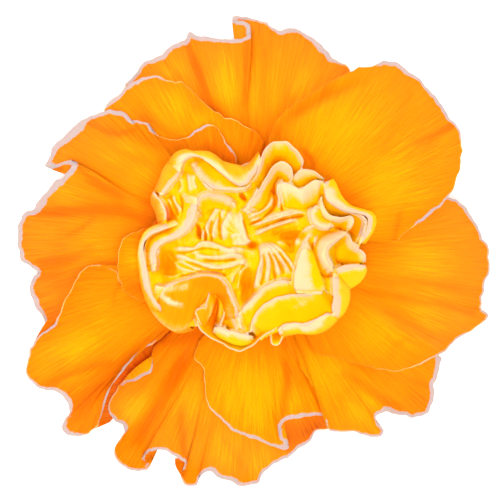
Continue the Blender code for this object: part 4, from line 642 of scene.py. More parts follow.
# Hollows between the folds, also darkened as painted shade, and swellings with a depth below nothing:
# x, y, half widths, depth
HOLLOWS = [
    (0, 0.5, 0.8, 0.6, 2.2), (6.8, 2.4, 3.2, 1.1, 2.2), (6.7, 0.3, 0.9, 1.4, 1.8),
    (-15, -3, 1.6, 2.6, 2.4), (-14.8, 6, 1.3, 1.8, 2), (-0.9, -6.8, 1.3, 3.2, 2.4),
    (-6.8, -10.6, 0.5, 2.2, 2.6), (3.8, 10.4, 0.35, 1.6, 1.4), (-1.6, 9, 0.6, 0.5, 0.5),
    (11.6, -1.2, 0.4, 1.6, 1.8), (-9.5, 2.8, 0.35, 1, 1.4), (-8.3, 2.3, 0.25, 0.9, 1.2),
    (15.8, -2, 0.8, 1.4, 1.4), (-3.5, 3.5, 1.7, 3, -1.4), (-4, -1.2, 2.4, 1.2, -1),
    (10, 2, 1.2, 1.6, -0.8), (3.6, 12.6, 0.9, 0.8, 0.9), (19.8, 3.6, 0.9, 2.2, -2.8),
    (-7.4, 12.6, 1.2, 0.7, 0.4), (11.2, -8.4, 1.6, 1, -0.7), (-16.8, -0.7, 0.6, 0.6, -1.2),
    (0, -15.3, 0.8, 0.6, -3.6),
]

# Streaks on the folds, partly their own cream and partly painted light, with darker runs of painted
# shade where the brightness is below nothing: how cream, how bright, half width and line
STREAKS = [
    (0.9, 0.1, 0.7, [(-18.6, 1.2), (-19, -1.3), (-18.2, -4.9), (-16.8, -7.6), (-14.6, -9.6),
        (-12.2, -10.6)]),
    (0.7, 0.2, 0.7, [(-16.8, -7.3), (-14.6, -7.3), (-12.4, -7), (-10.4, -6.4)]),
    (0.7, 0, 0.4, [(-15.2, -9), (-13.4, -9.9), (-11.6, -10.1)]),
    (0, -0.4, 0.7, [(-10, -6.3), (-8, -6), (-6.4, -6.6), (-5.6, -8), (-5, -10)]),
    (0.5, 0.2, 0.8, [(-4.4, -10), (-3.9, -12), (-3.4, -13.6)]),
    (0.9, 0.1, 1, [(4.6, 14), (5.6, 13.8), (6.4, 13)]),
    (0.5, 0.1, 0.9, [(2, 15.4), (4, 17.4), (6.4, 17.2), (8, 14.6)]),
    (0, -0.3, 0.6, [(-16.6, 4.4), (-14.6, 2.6), (-12.6, 2.2)]),
    (0.6, 0.1, 0.8, [(7, -10.8), (9.4, -9.6), (12, -8.6)]),
    (0.8, 0, 0.8, [(8.6, -14.4), (10.8, -13.8), (12.8, -13)]),
    (-1.1, 0.2, 1, [(9.9, 0.4), (10.9, -2), (11.6, -4.6), (11.9, -7.8)]),
]

# Pleats of the bed: height at the edge, reach of the face (on the left of the line's run, or on
# its right when negative), how cream the edge is, and the edge's line
RIDGES = [
    (1.5, -1.1, 1, [(-14.8, -0.2), (-13, 0.1), (-11.5, 0), (-10.2, 0), (-9.6, 0.7), (-8.5, 1.1), (-7, 0.9),
        (-5.5, 0.3), (-4, -0.2), (-3, 0.1), (-1, -0.3), (-0.4, -1)]),
    (0.9, -0.8, 0.8, [(-14.6, -1.4), (-12.4, -1.4), (-10.8, -2), (-9.2, -2.6), (-7.6, -3), (-6, -3)]),
    (1, -0.9, 1, [(-10.6, -0.9), (-9, -1.3), (-7.2, -1.6), (-5.4, -1.5), (-3.8, -1.1), (-2.2, -1.2),
        (-1, -2)]),
    (1.2, 0.9, 0.9, [(-9.5, -2.9), (-8, -3.6), (-6, -3.7), (-4, -3.4), (-2.4, -2.8), (-1, -3), (-2, -4),
        (-3, -5)]),
    (0.8, 0.7, 0.5, [(-14.4, -2.8), (-12.6, -2.6), (-11.2, -3.2), (-9.8, -3.9), (-8, -4.2)]),
    (1.7, 1, 1, [(-5.6, 8.2), (-6.4, 7), (-7.2, 5.8), (-8.1, 4), (-8.8, 2.5), (-9.4, 1.2)]),
    (1.3, 0.9, 0.9, [(-4.7, 7.5), (-5.6, 6), (-6.6, 4.4), (-7, 2.6), (-6.7, 1.2)]),
    (1.3, 1.2, 1, [(-3.6, 7.2), (-4.6, 5.4), (-5.3, 4), (-5.4, 2.4), (-4.9, 1)]),
    (1.6, -1.6, 1.4, [(-2.6, 7), (-1.7, 5.4), (-1.5, 4.4), (-1, 3), (-0.4, 1.9), (-0.5, 0.9), (-2, 0.6),
        (-4, 0.7)]),
    (0.5, -0.6, 1, [(-4, 1.9), (-2.9, 2.5), (-1.6, 2.3)]),
    (1.9, 1, 0.9, [(0, 2.2), (1.5, 2.7), (3, 3.4), (5, 4.1), (7, 4.7), (8.6, 5)]),
    (1.4, 0.7, 0.7, [(-0.8, 3.8), (0.8, 4.2), (2.2, 4.6), (3.8, 5.1), (5.6, 5.6), (7.6, 6.1), (10, 6.3)]),
    (1.1, 0.6, 0.6, [(-0.9, 4.4), (0.6, 5), (2, 5.3), (3.4, 5.5), (4.8, 6), (6.5, 6.4), (8.6, 6.8)]),
    (1.2, 0.8, 0.6, [(-1.2, 5), (0.4, 5.8), (2, 6.6), (3.2, 7.6), (4, 8.9), (4.3, 10)]),
    (1.2, 0.9, 0.8, [(-1.4, 5.8), (0.4, 6.8), (1.6, 8), (2.4, 9.4), (3, 11), (3.8, 12.6)]),
    (0.9, 0.7, 0.7, [(0.3, 7.6), (1.2, 8.8), (1.9, 10.2), (2.6, 11.6), (3.4, 13)]),
    (1.3, -1.2, 0.9, [(4.4, 6.9), (4.7, 8.4), (4.4, 10), (4.8, 11.2), (5.8, 11.8)]),
    (1.9, 0.9, 1.3, [(0.8, 0.8), (1.4, -0.3), (1.6, -2), (1.2, -3.5), (0.8, -5), (0.4, -6.6), (0, -7.8)]),
    (1.1, -0.7, 1.3, [(1.2, 0.9), (2.4, -0.3), (3, -1.6), (3.1, -3.2), (3, -4.8), (2.6, -6.6)]),
    (1.2, -0.7, 1.3, [(1.5, 1.1), (3.3, -0.4), (4.1, -2), (4.7, -3.6), (5.2, -5)]),
    (1.2, -0.7, 1.3, [(2, 1.3), (4.1, -0.2), (5.2, -1.8), (6.2, -3.4), (7, -5)]),
    (1.3, -0.7, 0.7, [(2.7, 1.4), (4.9, 0), (6.2, -1.5), (7.2, -3), (7.7, -4.4)]),
    (1.6, -1, 0.6, [(7.6, 0), (7.7, 1), (8.2, 2.1), (9.2, 3.2), (10.4, 3.9), (11.4, 4.1)]),
    (0.9, -0.8, 0.6, [(8.9, -0.4), (9, 1), (9.9, 2.2), (10.6, 3)]),
    (1.5, 0.9, 0.8, [(12, 3), (11.3, 1.9), (11, 0.8), (11.2, -0.4), (12, -1.8), (12.1, -3.4), (12.5, -5)]),
    (0.9, 0.7, 0.5, [(12.9, -2), (13, -3.4), (13.6, -4.8)]),
    (1.1, -0.7, 0.7, [(-13.9, 9.6), (-13.6, 8.3), (-12.9, 7.3), (-12.1, 6.6)]),
    (1.2, 0.8, 0.3, [(-15.4, 9), (-14.6, 8), (-14.2, 6.6), (-13.2, 5.4), (-12.9, 4.8)]),
    (1, 0.7, 0.5, [(-12.6, 9.8), (-11.8, 8.4), (-11.6, 6.6), (-11.9, 5)]),
    (0.9, 0.6, 0.2, [(-13, 12.6), (-12.6, 11), (-13.2, 9.8)]),
    (1, 0.7, 0.3, [(-11.6, 13.6), (-11.3, 11.6), (-11.1, 9.8)]),
    (1, -0.8, 0.5, [(-10.3, 13.2), (-10.2, 11.6), (-9.6, 10.6)]),
    (0.8, 0.7, 0.4, [(-8.6, 11.8), (-8.2, 10.8), (-6.8, 10.1)]),
    (1.4, 0.6, 0.6, [(-5.8, -7.6), (-5.2, -9), (-4.9, -10.6), (-5.1, -12), (-5.8, -14)]),
    (1.3, 0.6, 0.8, [(-4.4, -9.2), (-3.9, -11), (-3.6, -12.4), (-3.2, -13.8), (-2.4, -15)]),
    (1.1, -0.6, 0.3, [(-7.4, -8.6), (-7.5, -11), (-7.9, -12.4), (-8.2, -13.8)]),
    (1.2, 0.7, 0.9, [(-2.7, -11), (-2.5, -12.6), (-2, -14.2), (-1, -15)]),
    (0.8, 0.8, 0.1, [(-1.8, -3.6), (-2.4, -5.6), (-2.6, -7.8)]),
    (0.9, 0.8, 0.2, [(0.2, -8.2), (-0.8, -9.6), (-1.5, -11.2)]),
    (1, -0.9, 1, [(9, -8.3), (10.2, -8.4), (11.4, -7.7), (12.6, -7.4)]),
    (1.1, -0.8, 0.9, [(13.4, 5.2), (12.2, 5.8), (11.2, 6.8), (10.6, 8)]),
    (0.9, 0.7, 0.8, [(15.2, 2), (14, 1), (13, 0.4)]),
    (0.8, 0.7, 0.6, [(18.6, 3.4), (19.6, 2.2), (19.8, 1)]),
    (0.8, -0.6, 0.5, [(-16.3, -4.6), (-14.5, -5), (-12.4, -4.6), (-10.8, -4.6)]),
    (0.9, -0.7, 0.5, [(-15.4, -0.4), (-14.2, -2), (-12.8, -3.4), (-10.8, -4), (-8.6, -4.6)]),
    (1, 0.8, 0.3, [(-3.6, -6.4), (-3.1, -4.9), (-2, -3.4), (-0.6, -1.6)]),
    (0.9, -0.6, 0.2, [(3.5, 1.9), (5.5, 2.9), (7.7, 3.3), (9.3, 3.4)]),
    (0.7, 0.5, 0.2, [(4.1, 1.1), (5.9, 0.6), (7, -0.6)]),
    (0.8, 0.6, 0.4, [(-10.6, 8.8), (-9.4, 7), (-9.2, 5)]),
]

# Cracks of the bed, also darkened as painted shade: depth, half width and line
CRACKS = [
    (1.6, 0.16, [(-9.8, 4.2), (-9.4, 3.2), (-9.2, 1.7)]),
    (1.4, 0.14, [(-8.5, 3.8), (-8.3, 2.6), (-8.2, 1.4)]),
    (1.2, 0.12, [(-7.2, 4.8), (-7.4, 3), (-7.1, 1.4)]),
    (1.2, 0.13, [(-5.7, 6.4), (-5.8, 4), (-5.5, 1.6)]),
    (1.5, 0.18, [(-1.6, 5.2), (-0.9, 2.7), (-0.4, 1.6)]),
    (1.5, 0.16, [(-0.6, 4.1), (1.4, 5), (2.9, 6.2), (3.9, 7.4), (4.1, 9)]),
    (1.3, 0.13, [(0.4, 3.3), (2.6, 4), (4.6, 4.8), (7, 5.4), (9, 5.7)]),
    (1.2, 0.13, [(1, 6.4), (2.2, 7.4), (3, 8.8), (3.4, 10.4)]),
    (1.4, 0.15, [(2.7, 10), (3.1, 11), (3.9, 12.3)]),
    (1.6, 0.16, [(3.6, 10.6), (4, 9.6), (4.4, 8.9)]),
    (1.3, 0.14, [(5.2, 7.9), (5.3, 6.8)]),
    (1.8, 0.2, [(10.7, 0.9), (10.9, -0.4), (11.5, -1.3), (11.5, -2.6)]),
    (1.3, 0.16, [(12.2, -4.3), (12.8, -5), (14, -4.9)]),
    (1.5, 0.2, [(14, 4.7), (15.1, 4.3)]),
    (1.3, 0.2, [(17.2, 3.3), (17.5, 2.5)]),
    (1.6, 0.3, [(-2.1, 9.6), (-1.2, 8.6)]),
    (1.1, 0.13, [(1.9, -0.9), (2.2, -2.6), (2.1, -4.6), (1.6, -6.4)]),
    (1.1, 0.13, [(2.9, -0.8), (3.6, -2.4), (3.9, -4.2), (4.1, -5.6)]),
    (1.1, 0.13, [(3.7, -0.9), (4.9, -2.8), (5.6, -4.4)]),
    (1.1, 0.13, [(4.8, -0.7), (6, -2.4), (7, -4)]),
    (1.1, 0.15, [(-13.6, -0.8), (-11.6, -0.8), (-9.8, -0.3), (-8, -0.1), (-6, -0.4)]),
    (1.1, 0.15, [(-12, -2.4), (-10, -3), (-8, -3.7), (-5.6, -3.9)]),
    (1.2, 0.16, [(-8.6, -2.1), (-6.6, -2.3), (-4.6, -2.2), (-3, -2)]),
    (1.4, 0.2, [(-13, -5), (-11, -4.7), (-9, -4.2), (-6.6, -4.3), (-4.8, -4.8)]),
    (1.4, 0.18, [(-6.4, -8.4), (-6.2, -10.4), (-6.6, -12.8)]),
    (1.3, 0.15, [(-4.7, -8.6), (-4.4, -10.2), (-4.6, -12), (-5.2, -13.8)]),
    (1.2, 0.15, [(-12.9, 9.4), (-12.4, 8), (-12.2, 6)]),
    (1.2, 0.2, [(-14.6, 9.4), (-13.9, 7.6), (-13.3, 6)]),
]


def colour(*hundredths):
    """A colour's linear red, green and blue shares, given in hundredths."""
    return tuple(c / 100 for c in hundredths) + (1.0,)


def smooth_path(points, step=None, count=None):
    """Evenly spaced points on a smooth curve through the given ones, and the curve's length."""
    p = np.array(points, float)
    p = np.vstack([2 * p[0] - p[1], p, 2 * p[-1] - p[-2]])
    t = np.linspace(0, 1, CURVE_STEPS, endpoint=False)[:, None]
    dense = []
    for i in range(1, len(p) - 2):
        a, b, c, d = p[i - 1:i + 3]
        dense.append(0.5 * (2 * b + (c - a) * t + (2 * a - 5 * b + 4 * c - d) * t * t
                            + (3 * b - a - 3 * c + d) * t ** 3))
    dense = np.vstack(dense + [p[-2:-1]])
    run = np.concatenate([[0], np.cumsum(np.linalg.norm(np.diff(dense[:, :2], axis=0), axis=1))])
    count = count or max(int(run[-1] / step), LEAST_POINTS)
    at = np.linspace(0, run[-1], count)
    return np.stack([np.interp(at, run, column) for column in dense.T], axis=1), run[-1]


def soften(values, width):
    """Columns of values averaged along their length, with both ends kept in place."""
    reach = int(3 * width) + 1
    weights = np.exp(-0.5 * (np.arange(-reach, reach + 1) / width) ** 2)
    weights /= weights.sum()
    before = 2 * values[:1] - values[reach:0:-1]
    after = 2 * values[-1:] - values[-2:-reach - 2:-1]
    padded = np.concatenate([before, values, after])
    return np.stack([np.convolve(column, weights, "valid") for column in padded.T], axis=1)


def wander(at, run, draw):
    """A smooth random wave along a length, about 1 high, whose bends are about run apart."""
    uneven, even, even_run = 0.7, 0.3, 1.7 * run
    knots = draw.normal(size=int(np.max(at) / run) + 4)
    swing = np.sin(2 * math.pi * at / even_run + draw.random() * 6)
    return np.interp(at / run, np.arange(len(knots)), knots) * uneven + even * swing


def waves(at, sizes, draw):
    """Random waves laid over one another, from each one's run and height."""
    return sum(wander(at, run, draw) * height for run, height in sizes)


def smoothstep(low, high, x):
    t = np.clip((x - low) / (high - low), 0, 1)
    return t * t * (3 - 2 * t)


def between(low, high, share):
    """1 along the middle of a line, and falling to 0 towards both its ends."""
    return smoothstep(low, high, share) * (1 - smoothstep(1 - high, 1 - low, share))


def soft_mark(away, width):
    """1 on a line, and fading away beside it."""
    return np.exp(-(away / width) ** 2)


def distance_to_line(points, line):
    """How far plan points lie from a line of straight runs, the share of it that they are at, and
    whether they are on its left (1) or right (-1)."""
    best = np.full(points.shape[:-1], 1e9)
    share = np.zeros(points.shape[:-1])
    hand = np.zeros(points.shape[:-1])
    line = np.array(line, float)
    for k, (a, b) in enumerate(zip(line, line[1:])):
        d = b - a
        off = points - a
        t = np.clip((off @ d) / (d @ d), 0, 1)
        away = np.linalg.norm(off - t[..., None] * d, axis=-1)
        nearer = away < best
        best = np.where(nearer, away, best)
        share = np.where(nearer, (k + t) / (len(line) - 1), share)
        hand = np.where(nearer, np.sign(d[0] * off[..., 1] - d[1] * off[..., 0]), hand)
    return best, share, hand


def refined(grid):
    """A grid with points added half way between its neighbours."""
    rows = np.empty((2 * grid.shape[0] - 1, *grid.shape[1:]))
    rows[::2] = grid
    rows[1::2] = (grid[1:] + grid[:-1]) / 2
    wide = np.empty((rows.shape[0], 2 * rows.shape[1] - 1, rows.shape[2]))
    wide[:, ::2] = rows
    wide[:, 1::2] = (rows[:, 1:] + rows[:, :-1]) / 2
    return wide


class Ground:
    """The height of what lies below, kept on a fine plan grid, for laying petals on petals."""

    def __init__(self, cell, half):
        self.cell = cell
        self.half = half
        self.top = np.full((2 * half + 1, 2 * half + 1), NOTHING)

    def cells(self, points):
        at = np.rint(points[..., :2] / self.cell).astype(int) + self.half
        return np.clip(at, 1, 2 * self.half - 1)

    def add(self, grid):
        """Lays a grid on the plan, and gives the cells in which it is the highest so far."""
        fine = refined(refined(grid)).reshape(-1, 3)
        rows, columns = self.cells(fine).T
        higher = fine[:, 2] > self.top[rows, columns]
        np.maximum.at(self.top, (rows, columns), fine[:, 2])
        return rows[higher], columns[higher]

    def under(self, points):
        at = self.cells(points)
        best = np.full(at.shape[:-1], NOTHING)
        for dx in (-1, 0, 1):
            for dy in (-1, 0, 1):
                best = np.maximum(best, self.top[at[..., 0] + dx, at[..., 1] + dy])
        return best


def spread(need):
    """Each grid point's lift, shared with its neighbours, so that a blade bends and doesn't kink."""
    wide = need.copy()
    for _ in range(SPREAD_ROUNDS):
        for side in (wide, wide.T):
            for step, edge in ((1, 0), (-1, -1)):
                moved = np.roll(side, step, 0)
                moved[edge] = side[edge]
                np.maximum(side, SPREAD_SHARE * moved, out=side)
    return wide


def eased(grid, rounds):
    """A grid of heights with its sharp steps evened out."""
    z = grid.copy()
    for _ in range(rounds):
        z[1:-1, 1:-1] = (z[1:-1, 1:-1] * 2 + z[:-2, 1:-1] + z[2:, 1:-1] + z[1:-1, :-2] + z[1:-1, 2:]) / 6
    return z


def painted_mesh(name, points, faces, place, paint):
    """A mesh from millimetre points, with each point's place and paint."""
    mesh = bpy.data.meshes.new(name)
    mesh.from_pydata((points * MM).tolist(), [], faces)
    for label, values in (("place", place), ("paint", paint)):
        layer = mesh.attributes.new(label, "FLOAT_VECTOR", "POINT")
        layer.data.foreach_set("vector", values.astype(np.float32).reshape(-1))
    return mesh


def blade_mesh(name, sheets):
    """One mesh of closed thin sheets. Each is its upper grid, its lower grid, and two grids of
    three values a point: across, along and distance from the edge; tone, cream and rim width."""
    points, quads, places, paints = [], [], [], []
    base = 0
    for upper, lower, place, paint in sheets:
        rows, cols = upper.shape[:2]
        size = rows * cols
        points += [upper.reshape(-1, 3), lower.reshape(-1, 3)]
        places += [place.reshape(-1, 3)] * 2
        paints += [paint.reshape(-1, 3)] * 2
        i, j = np.meshgrid(np.arange(rows - 1), np.arange(cols - 1), indexing="ij")
        a = (i * cols + j).reshape(-1) + base
        face = np.stack([a, a + 1, a + cols + 1, a + cols], axis=1)
        ring = np.concatenate([np.arange(cols), np.arange(1, rows) * cols + cols - 1,
                               (rows - 1) * cols + np.arange(cols - 2, -1, -1),
                               np.arange(rows - 2, 0, -1) * cols]) + base
        after = np.roll(ring, -1)
        quads += [face[:, ::-1], face + size, np.stack([ring, after, after + size, ring + size], axis=1)]
        base += 2 * size
    mesh = painted_mesh(name, np.vstack(points), np.vstack(quads).tolist(), np.vstack(places),
                        np.vstack(paints))
    bm = bmesh.new()
    bm.from_mesh(mesh)
    bmesh.ops.recalc_face_normals(bm, faces=bm.faces)
    bm.to_mesh(mesh)
    bm.free()
    mesh.shade_smooth()
    return mesh


def show(name, mesh, material, slot, *replaced):
    """A finished piece: on the flower's body, with its finish and the solids it stands for."""
    obj = bpy.data.objects.new(name, mesh)
    bpy.context.scene.collection.objects.link(obj)
    mesh.materials.clear()
    mesh.materials.append(material)
    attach(obj, "root")
    if replaced:
        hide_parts(*replaced)


def node(tree, kind, inputs=None, **settings):
    """A shader or geometry node, with its settings, and its inputs linked or set."""
    made = tree.nodes.new(kind)
    for key, value in settings.items():
        setattr(made, key, value)
    for key, value in (inputs or {}).items():
        socket = made.inputs[key]
        if isinstance(value, bpy.types.NodeSocket):
            tree.links.new(value, socket)
        else:
            socket.default_value = value
    return made


def group_node(tree, group, inputs):
    return node(tree, "ShaderNodeGroup", inputs, node_tree=group).outputs[0]


def math_node(tree, operation, a, b=0.0, c=0.0, clamp=False):
    return node(tree, "ShaderNodeMath", {0: a, 1: b, 2: c}, operation=operation, use_clamp=clamp).outputs[0]


def varied(tree, base, pattern, amount):
    """A value with the swing of a pattern, which runs round 0.5, laid over it."""
    return math_node(tree, "MULTIPLY_ADD", math_node(tree, "SUBTRACT", pattern, 0.5), amount, base)


def blended(tree, share, a, b):
    """One colour going over into another."""
    return node(tree, "ShaderNodeMix", {"Factor": share, 6: a, 7: b}, data_type="RGBA").outputs[2]


def ranged(tree, value, low, high):
    """0 up to a low value, 1 from a high one, and eased between them."""
    inputs = {"Value": value, "From Min": low, "From Max": high}
    return node(tree, "ShaderNodeMapRange", inputs, interpolation_type="SMOOTHSTEP").outputs[0]


def ramp(tree, tone, first, steps):
    """A colour that goes over into the next one between each step's low and high tone."""
    skin = first
    for low, high, hue in steps:
        skin = blended(tree, ranged(tree, tone, low, high), skin, hue)
    return skin


def new_group(name, kind, inputs, outputs):
    """An empty node group with named inputs and outputs."""
    tree = bpy.data.node_groups.new(name, kind)
    for label, socket_kind, value in inputs:
        socket = tree.interface.new_socket(label, in_out="INPUT", socket_type=socket_kind)
        if value is not None:
            socket.default_value = value
    for label, socket_kind in outputs:
        tree.interface.new_socket(label, in_out="OUTPUT", socket_type=socket_kind)
    return tree, tree.nodes.new("NodeGroupInput"), tree.nodes.new("NodeGroupOutput")


def noise(tree, vector, scale, detail, roughness=0.5, distortion=0.0):
    return node(tree, "ShaderNodeTexNoise", {
        "Vector": vector, "Scale": scale, "Detail": detail, "Roughness": roughness,
        "Distortion": distortion}).outputs[0]


def make_vein_group():
    """Fine veins that run along a blade: a value round 0.5 from where a point is on it."""
    tree, given, out = new_group("fine_veins", "ShaderNodeTree", [
        ("Place", "NodeSocketVector", None), ("Across", "NodeSocketFloat", 3.0),
        ("Along", "NodeSocketFloat", 0.12)], [("Value", "NodeSocketFloat")])
    across, along, _ = node(tree, "ShaderNodeSeparateXYZ", {0: given.outputs["Place"]}).outputs
    at = node(tree, "ShaderNodeCombineXYZ", {
        0: math_node(tree, "MULTIPLY", across, given.outputs["Across"]),
        1: math_node(tree, "MULTIPLY", along, given.outputs["Along"])})
    fine = noise(tree, at.outputs[0], scale=1.0, detail=3.0, roughness=0.6, distortion=0.15)
    tree.links.new(fine, out.inputs["Value"])
    return tree


def make_margin_group():
    """The pale margin: 1 at the cut edge, with a ragged inner side, and 0 past its width."""
    broad_share, teeth_share, teeth_run, raggedness = 1.1, 0.9, 2.6, 1.6
    tree, given, out = new_group("pale_margin", "ShaderNodeTree", [
        ("Place", "NodeSocketVector", None), ("Width", "NodeSocketFloat", 1.0),
        ("Ragged", "NodeSocketFloat", 0.8), ("Softness", "NodeSocketFloat", 0.12)],
        [("Mask", "NodeSocketFloat")])
    across, _, away = node(tree, "ShaderNodeSeparateXYZ", {0: given.outputs["Place"]}).outputs
    broad = noise(tree, node(tree, "ShaderNodeCombineXYZ", {0: across}).outputs[0], scale=0.35, detail=2.0)
    at = node(tree, "ShaderNodeCombineXYZ", {0: math_node(tree, "MULTIPLY", across, teeth_run), 1: away})
    teeth = noise(tree, at.outputs[0], scale=1.0, detail=3.0, roughness=0.7)
    rough = math_node(tree, "ADD", math_node(tree, "MULTIPLY", broad, broad_share),
                      math_node(tree, "MULTIPLY", teeth, teeth_share))
    share = math_node(tree, "MULTIPLY_ADD", math_node(tree, "SUBTRACT", rough, 1.0),
                      math_node(tree, "MULTIPLY", given.outputs["Ragged"], raggedness), 1.0)
    reach = math_node(tree, "MULTIPLY", given.outputs["Width"], share)
    inside = math_node(tree, "SUBTRACT", reach, away)
    softness = given.outputs["Softness"]
    mask = ranged(tree, inside, math_node(tree, "MULTIPLY", softness, -1.0), softness)
    tree.links.new(mask, out.inputs["Mask"])
    return tree


def make_grain_group():
    """The faint cell grain of a petal or a leaf, from where a point is in the object."""
    tree, given, out = new_group("cell_grain", "ShaderNodeTree", [("Size", "NodeSocketFloat", 0.0004)],
                                 [("Value", "NodeSocketFloat")])
    spot = node(tree, "ShaderNodeTexCoord").outputs["Object"]
    scale = math_node(tree, "DIVIDE", 1.0, given.outputs["Size"])
    tree.links.new(noise(tree, spot, scale, detail=2.0), out.inputs["Value"])
    return tree


# Colours of the petals and the leaves
SHADOW = colour(50, 8, 0)
DEEP_ORANGE = colour(80, 16.5, 0)
ORANGE = colour(95, 25, 0)
BRIGHT_ORANGE = colour(98, 40, 0)
GOLD = colour(98, 35, 0)
YELLOW = colour(98, 52, 0)
CREAM = colour(94, 60, 32)
BLUSH = colour(66, 43, 30)
LIGHT_BLUSH = colour(74, 50, 36)
PALE_PINK = colour(52, 38.5, 36)
LIGHT_PINK = colour(59, 45, 42)
THIN_EDGE = colour(90, 50, 12)
LEAF_RIM = colour(66, 58, 34)
SEPAL_GREENS = colour(5, 13, 2.5), colour(17, 30, 8)
BRACT_GREENS = colour(22, 34, 9), colour(46, 52, 24)

# The tones, low and high, between which a skin goes over into its next colour
GUARD_STEPS = (-0.6, -0.05, DEEP_ORANGE), (0.0, 0.5, ORANGE), (0.45, 1.0, BRIGHT_ORANGE)
HEART_STEPS = (-0.05, 0.45, GOLD), (0.4, 0.8, YELLOW)


def place_and_paint(tree):
    """A petal's own values: its place vector, and its tone, cream and rim width."""
    place, paint = (node(tree, "ShaderNodeAttribute", attribute_name=label).outputs["Vector"]
                    for label in ("place", "paint"))
    return place, tuple(node(tree, "ShaderNodeSeparateXYZ", {0: paint}).outputs)


def new_material(name, roughness, subsurface, depth, radii):
    material = bpy.data.materials.new(name)
    material.use_nodes = True
    tree = material.node_tree
    shader = tree.nodes["Principled BSDF"]
    shader.inputs["Roughness"].default_value = roughness
    shader.inputs["Specular IOR Level"].default_value = PETAL_SHINE
    shader.inputs["Subsurface Weight"].default_value = subsurface
    shader.inputs["Subsurface Scale"].default_value = depth
    shader.inputs["Subsurface Radius"].default_value = radii
    return material, tree, shader


def finish_skin(tree, shader, skin, height, strength, distance):
    """Gives a shader its colour and its bump."""
    tree.links.new(skin, shader.inputs["Base Color"])
    bump = node(tree, "ShaderNodeBump", {"Height": height, "Strength": strength, "Distance": distance})
    tree.links.new(bump.outputs[0], shader.inputs["Normal"])


def make_guard_material():
    """Orange petal skin: painted light in the middle, painted shade in the folds, veined, with a pale
    margin.
    """
    material, tree, shader = new_material("orange_petal", roughness=0.55, subsurface=0.2, depth=0.0012,
                                          radii=(1.0, 0.5, 0.05))
    place, (tone, _, width) = place_and_paint(tree)
    veins = group_node(tree, VEINS, {"Place": place, "Across": 2.2, "Along": 0.1})
    fine = group_node(tree, VEINS, {"Place": place, "Across": 6.5, "Along": 0.22})
    grain = group_node(tree, GRAIN, {"Size": 0.00035})
    for pattern, amount in ((veins, 0.9), (fine, 0.85), (grain, 0.2)):
        tone = varied(tree, tone, pattern, amount)
    margin = group_node(tree, MARGIN, {"Place": place, "Width": width, "Ragged": 0.5, "Softness": 0.08})
    pale = blended(tree, grain, PALE_PINK, LIGHT_PINK)
    pale = blended(tree, ranged(tree, width, 0.12, 0.42), THIN_EDGE, pale)
    skin = blended(tree, margin, ramp(tree, tone, SHADOW, GUARD_STEPS), pale)
    height = math_node(tree, "MULTIPLY_ADD", fine, 0.6, veins)
    finish_skin(tree, shader, skin, height, strength=0.7, distance=0.00026)
    return material


def make_heart_material():
    """Inner petal skin: orange in the hollows as painted shade, yellow up the faces, cream near blushed
    rims and as painted light on raised parts.
    """
    material, tree, shader = new_material("yellow_petal", roughness=0.5, subsurface=0.35, depth=0.0012,
                                          radii=(1.0, 0.8, 0.15))
    place, (tone, cream, width) = place_and_paint(tree)
    veins = group_node(tree, VEINS, {"Place": place, "Across": 2.4, "Along": 0.2})
    grain = group_node(tree, GRAIN, {"Size": 0.0003})
    skin = ramp(tree, varied(tree, tone, veins, 0.4), ORANGE, HEART_STEPS)
    for pattern, amount in ((veins, 0.5), (grain, 0.7)):
        cream = varied(tree, cream, pattern, amount)
    skin = blended(tree, ranged(tree, cream, 0.0, 0.75), skin, CREAM)
    rim = group_node(tree, MARGIN, {"Place": place, "Width": width, "Ragged": 0.6, "Softness": 0.15})
    blush = blended(tree, grain, BLUSH, LIGHT_BLUSH)
    skin = blended(tree, math_node(tree, "MULTIPLY", rim, BLUSH_SHARE), skin, blush)
    finish_skin(tree, shader, skin, veins, strength=0.4, distance=0.00018)
    return material


def make_green_material(name, greens, roughness):
    """The skin of a leaf: two greens in veins, with a dry pale rim."""
    material, tree, shader = new_material(name, roughness, subsurface=0.1, depth=0.001,
                                          radii=(0.4, 1.0, 0.2))
    place, (tone, _, width) = place_and_paint(tree)
    veins = group_node(tree, VEINS, {"Place": place, "Across": 2.0, "Along": 0.08})
    grain = group_node(tree, GRAIN, {"Size": 0.0006})
    share = math_node(tree, "ADD", math_node(tree, "MULTIPLY", veins, 0.6),
                      math_node(tree, "MULTIPLY_ADD", grain, 0.4, tone), clamp=True)
    margin = group_node(tree, MARGIN, {"Place": place, "Width": width, "Ragged": 0.5, "Softness": 0.15})
    skin = blended(tree, margin, blended(tree, share, *greens), LEAF_RIM)
    height = math_node(tree, "ADD", veins, grain)
    finish_skin(tree, shader, skin, height, strength=0.4, distance=0.0002)
    return material


def guard_height(r, layer, droop):
    """How high a guard petal lies at a distance from the axis."""
    rise = SHOULDER * (1 - np.exp(-np.maximum(r - CLAW_R, 0) / SHOULDER_RUN))
    fall = droop * np.maximum((r - DROOP_FROM_R) / DROOP_RUN, 0) ** DROOP_POWER
    return THROAT_Z + layer * LAYER_STEP + rise - fall


def set_along(line, marks):
    """Values given at places beside a line, run on between those places along it."""
    marks = np.array(marks, float)
    nearest = np.array([np.argmin(np.linalg.norm(line[:, :2] - m, axis=1)) for m in marks[:, :2]])
    order = np.argsort(nearest, kind="stable")
    at = np.arange(len(line))
    return np.stack([np.interp(at, nearest[order], column[order], left=0, right=0)
                     for column in marks[:, 2:].T], axis=1)


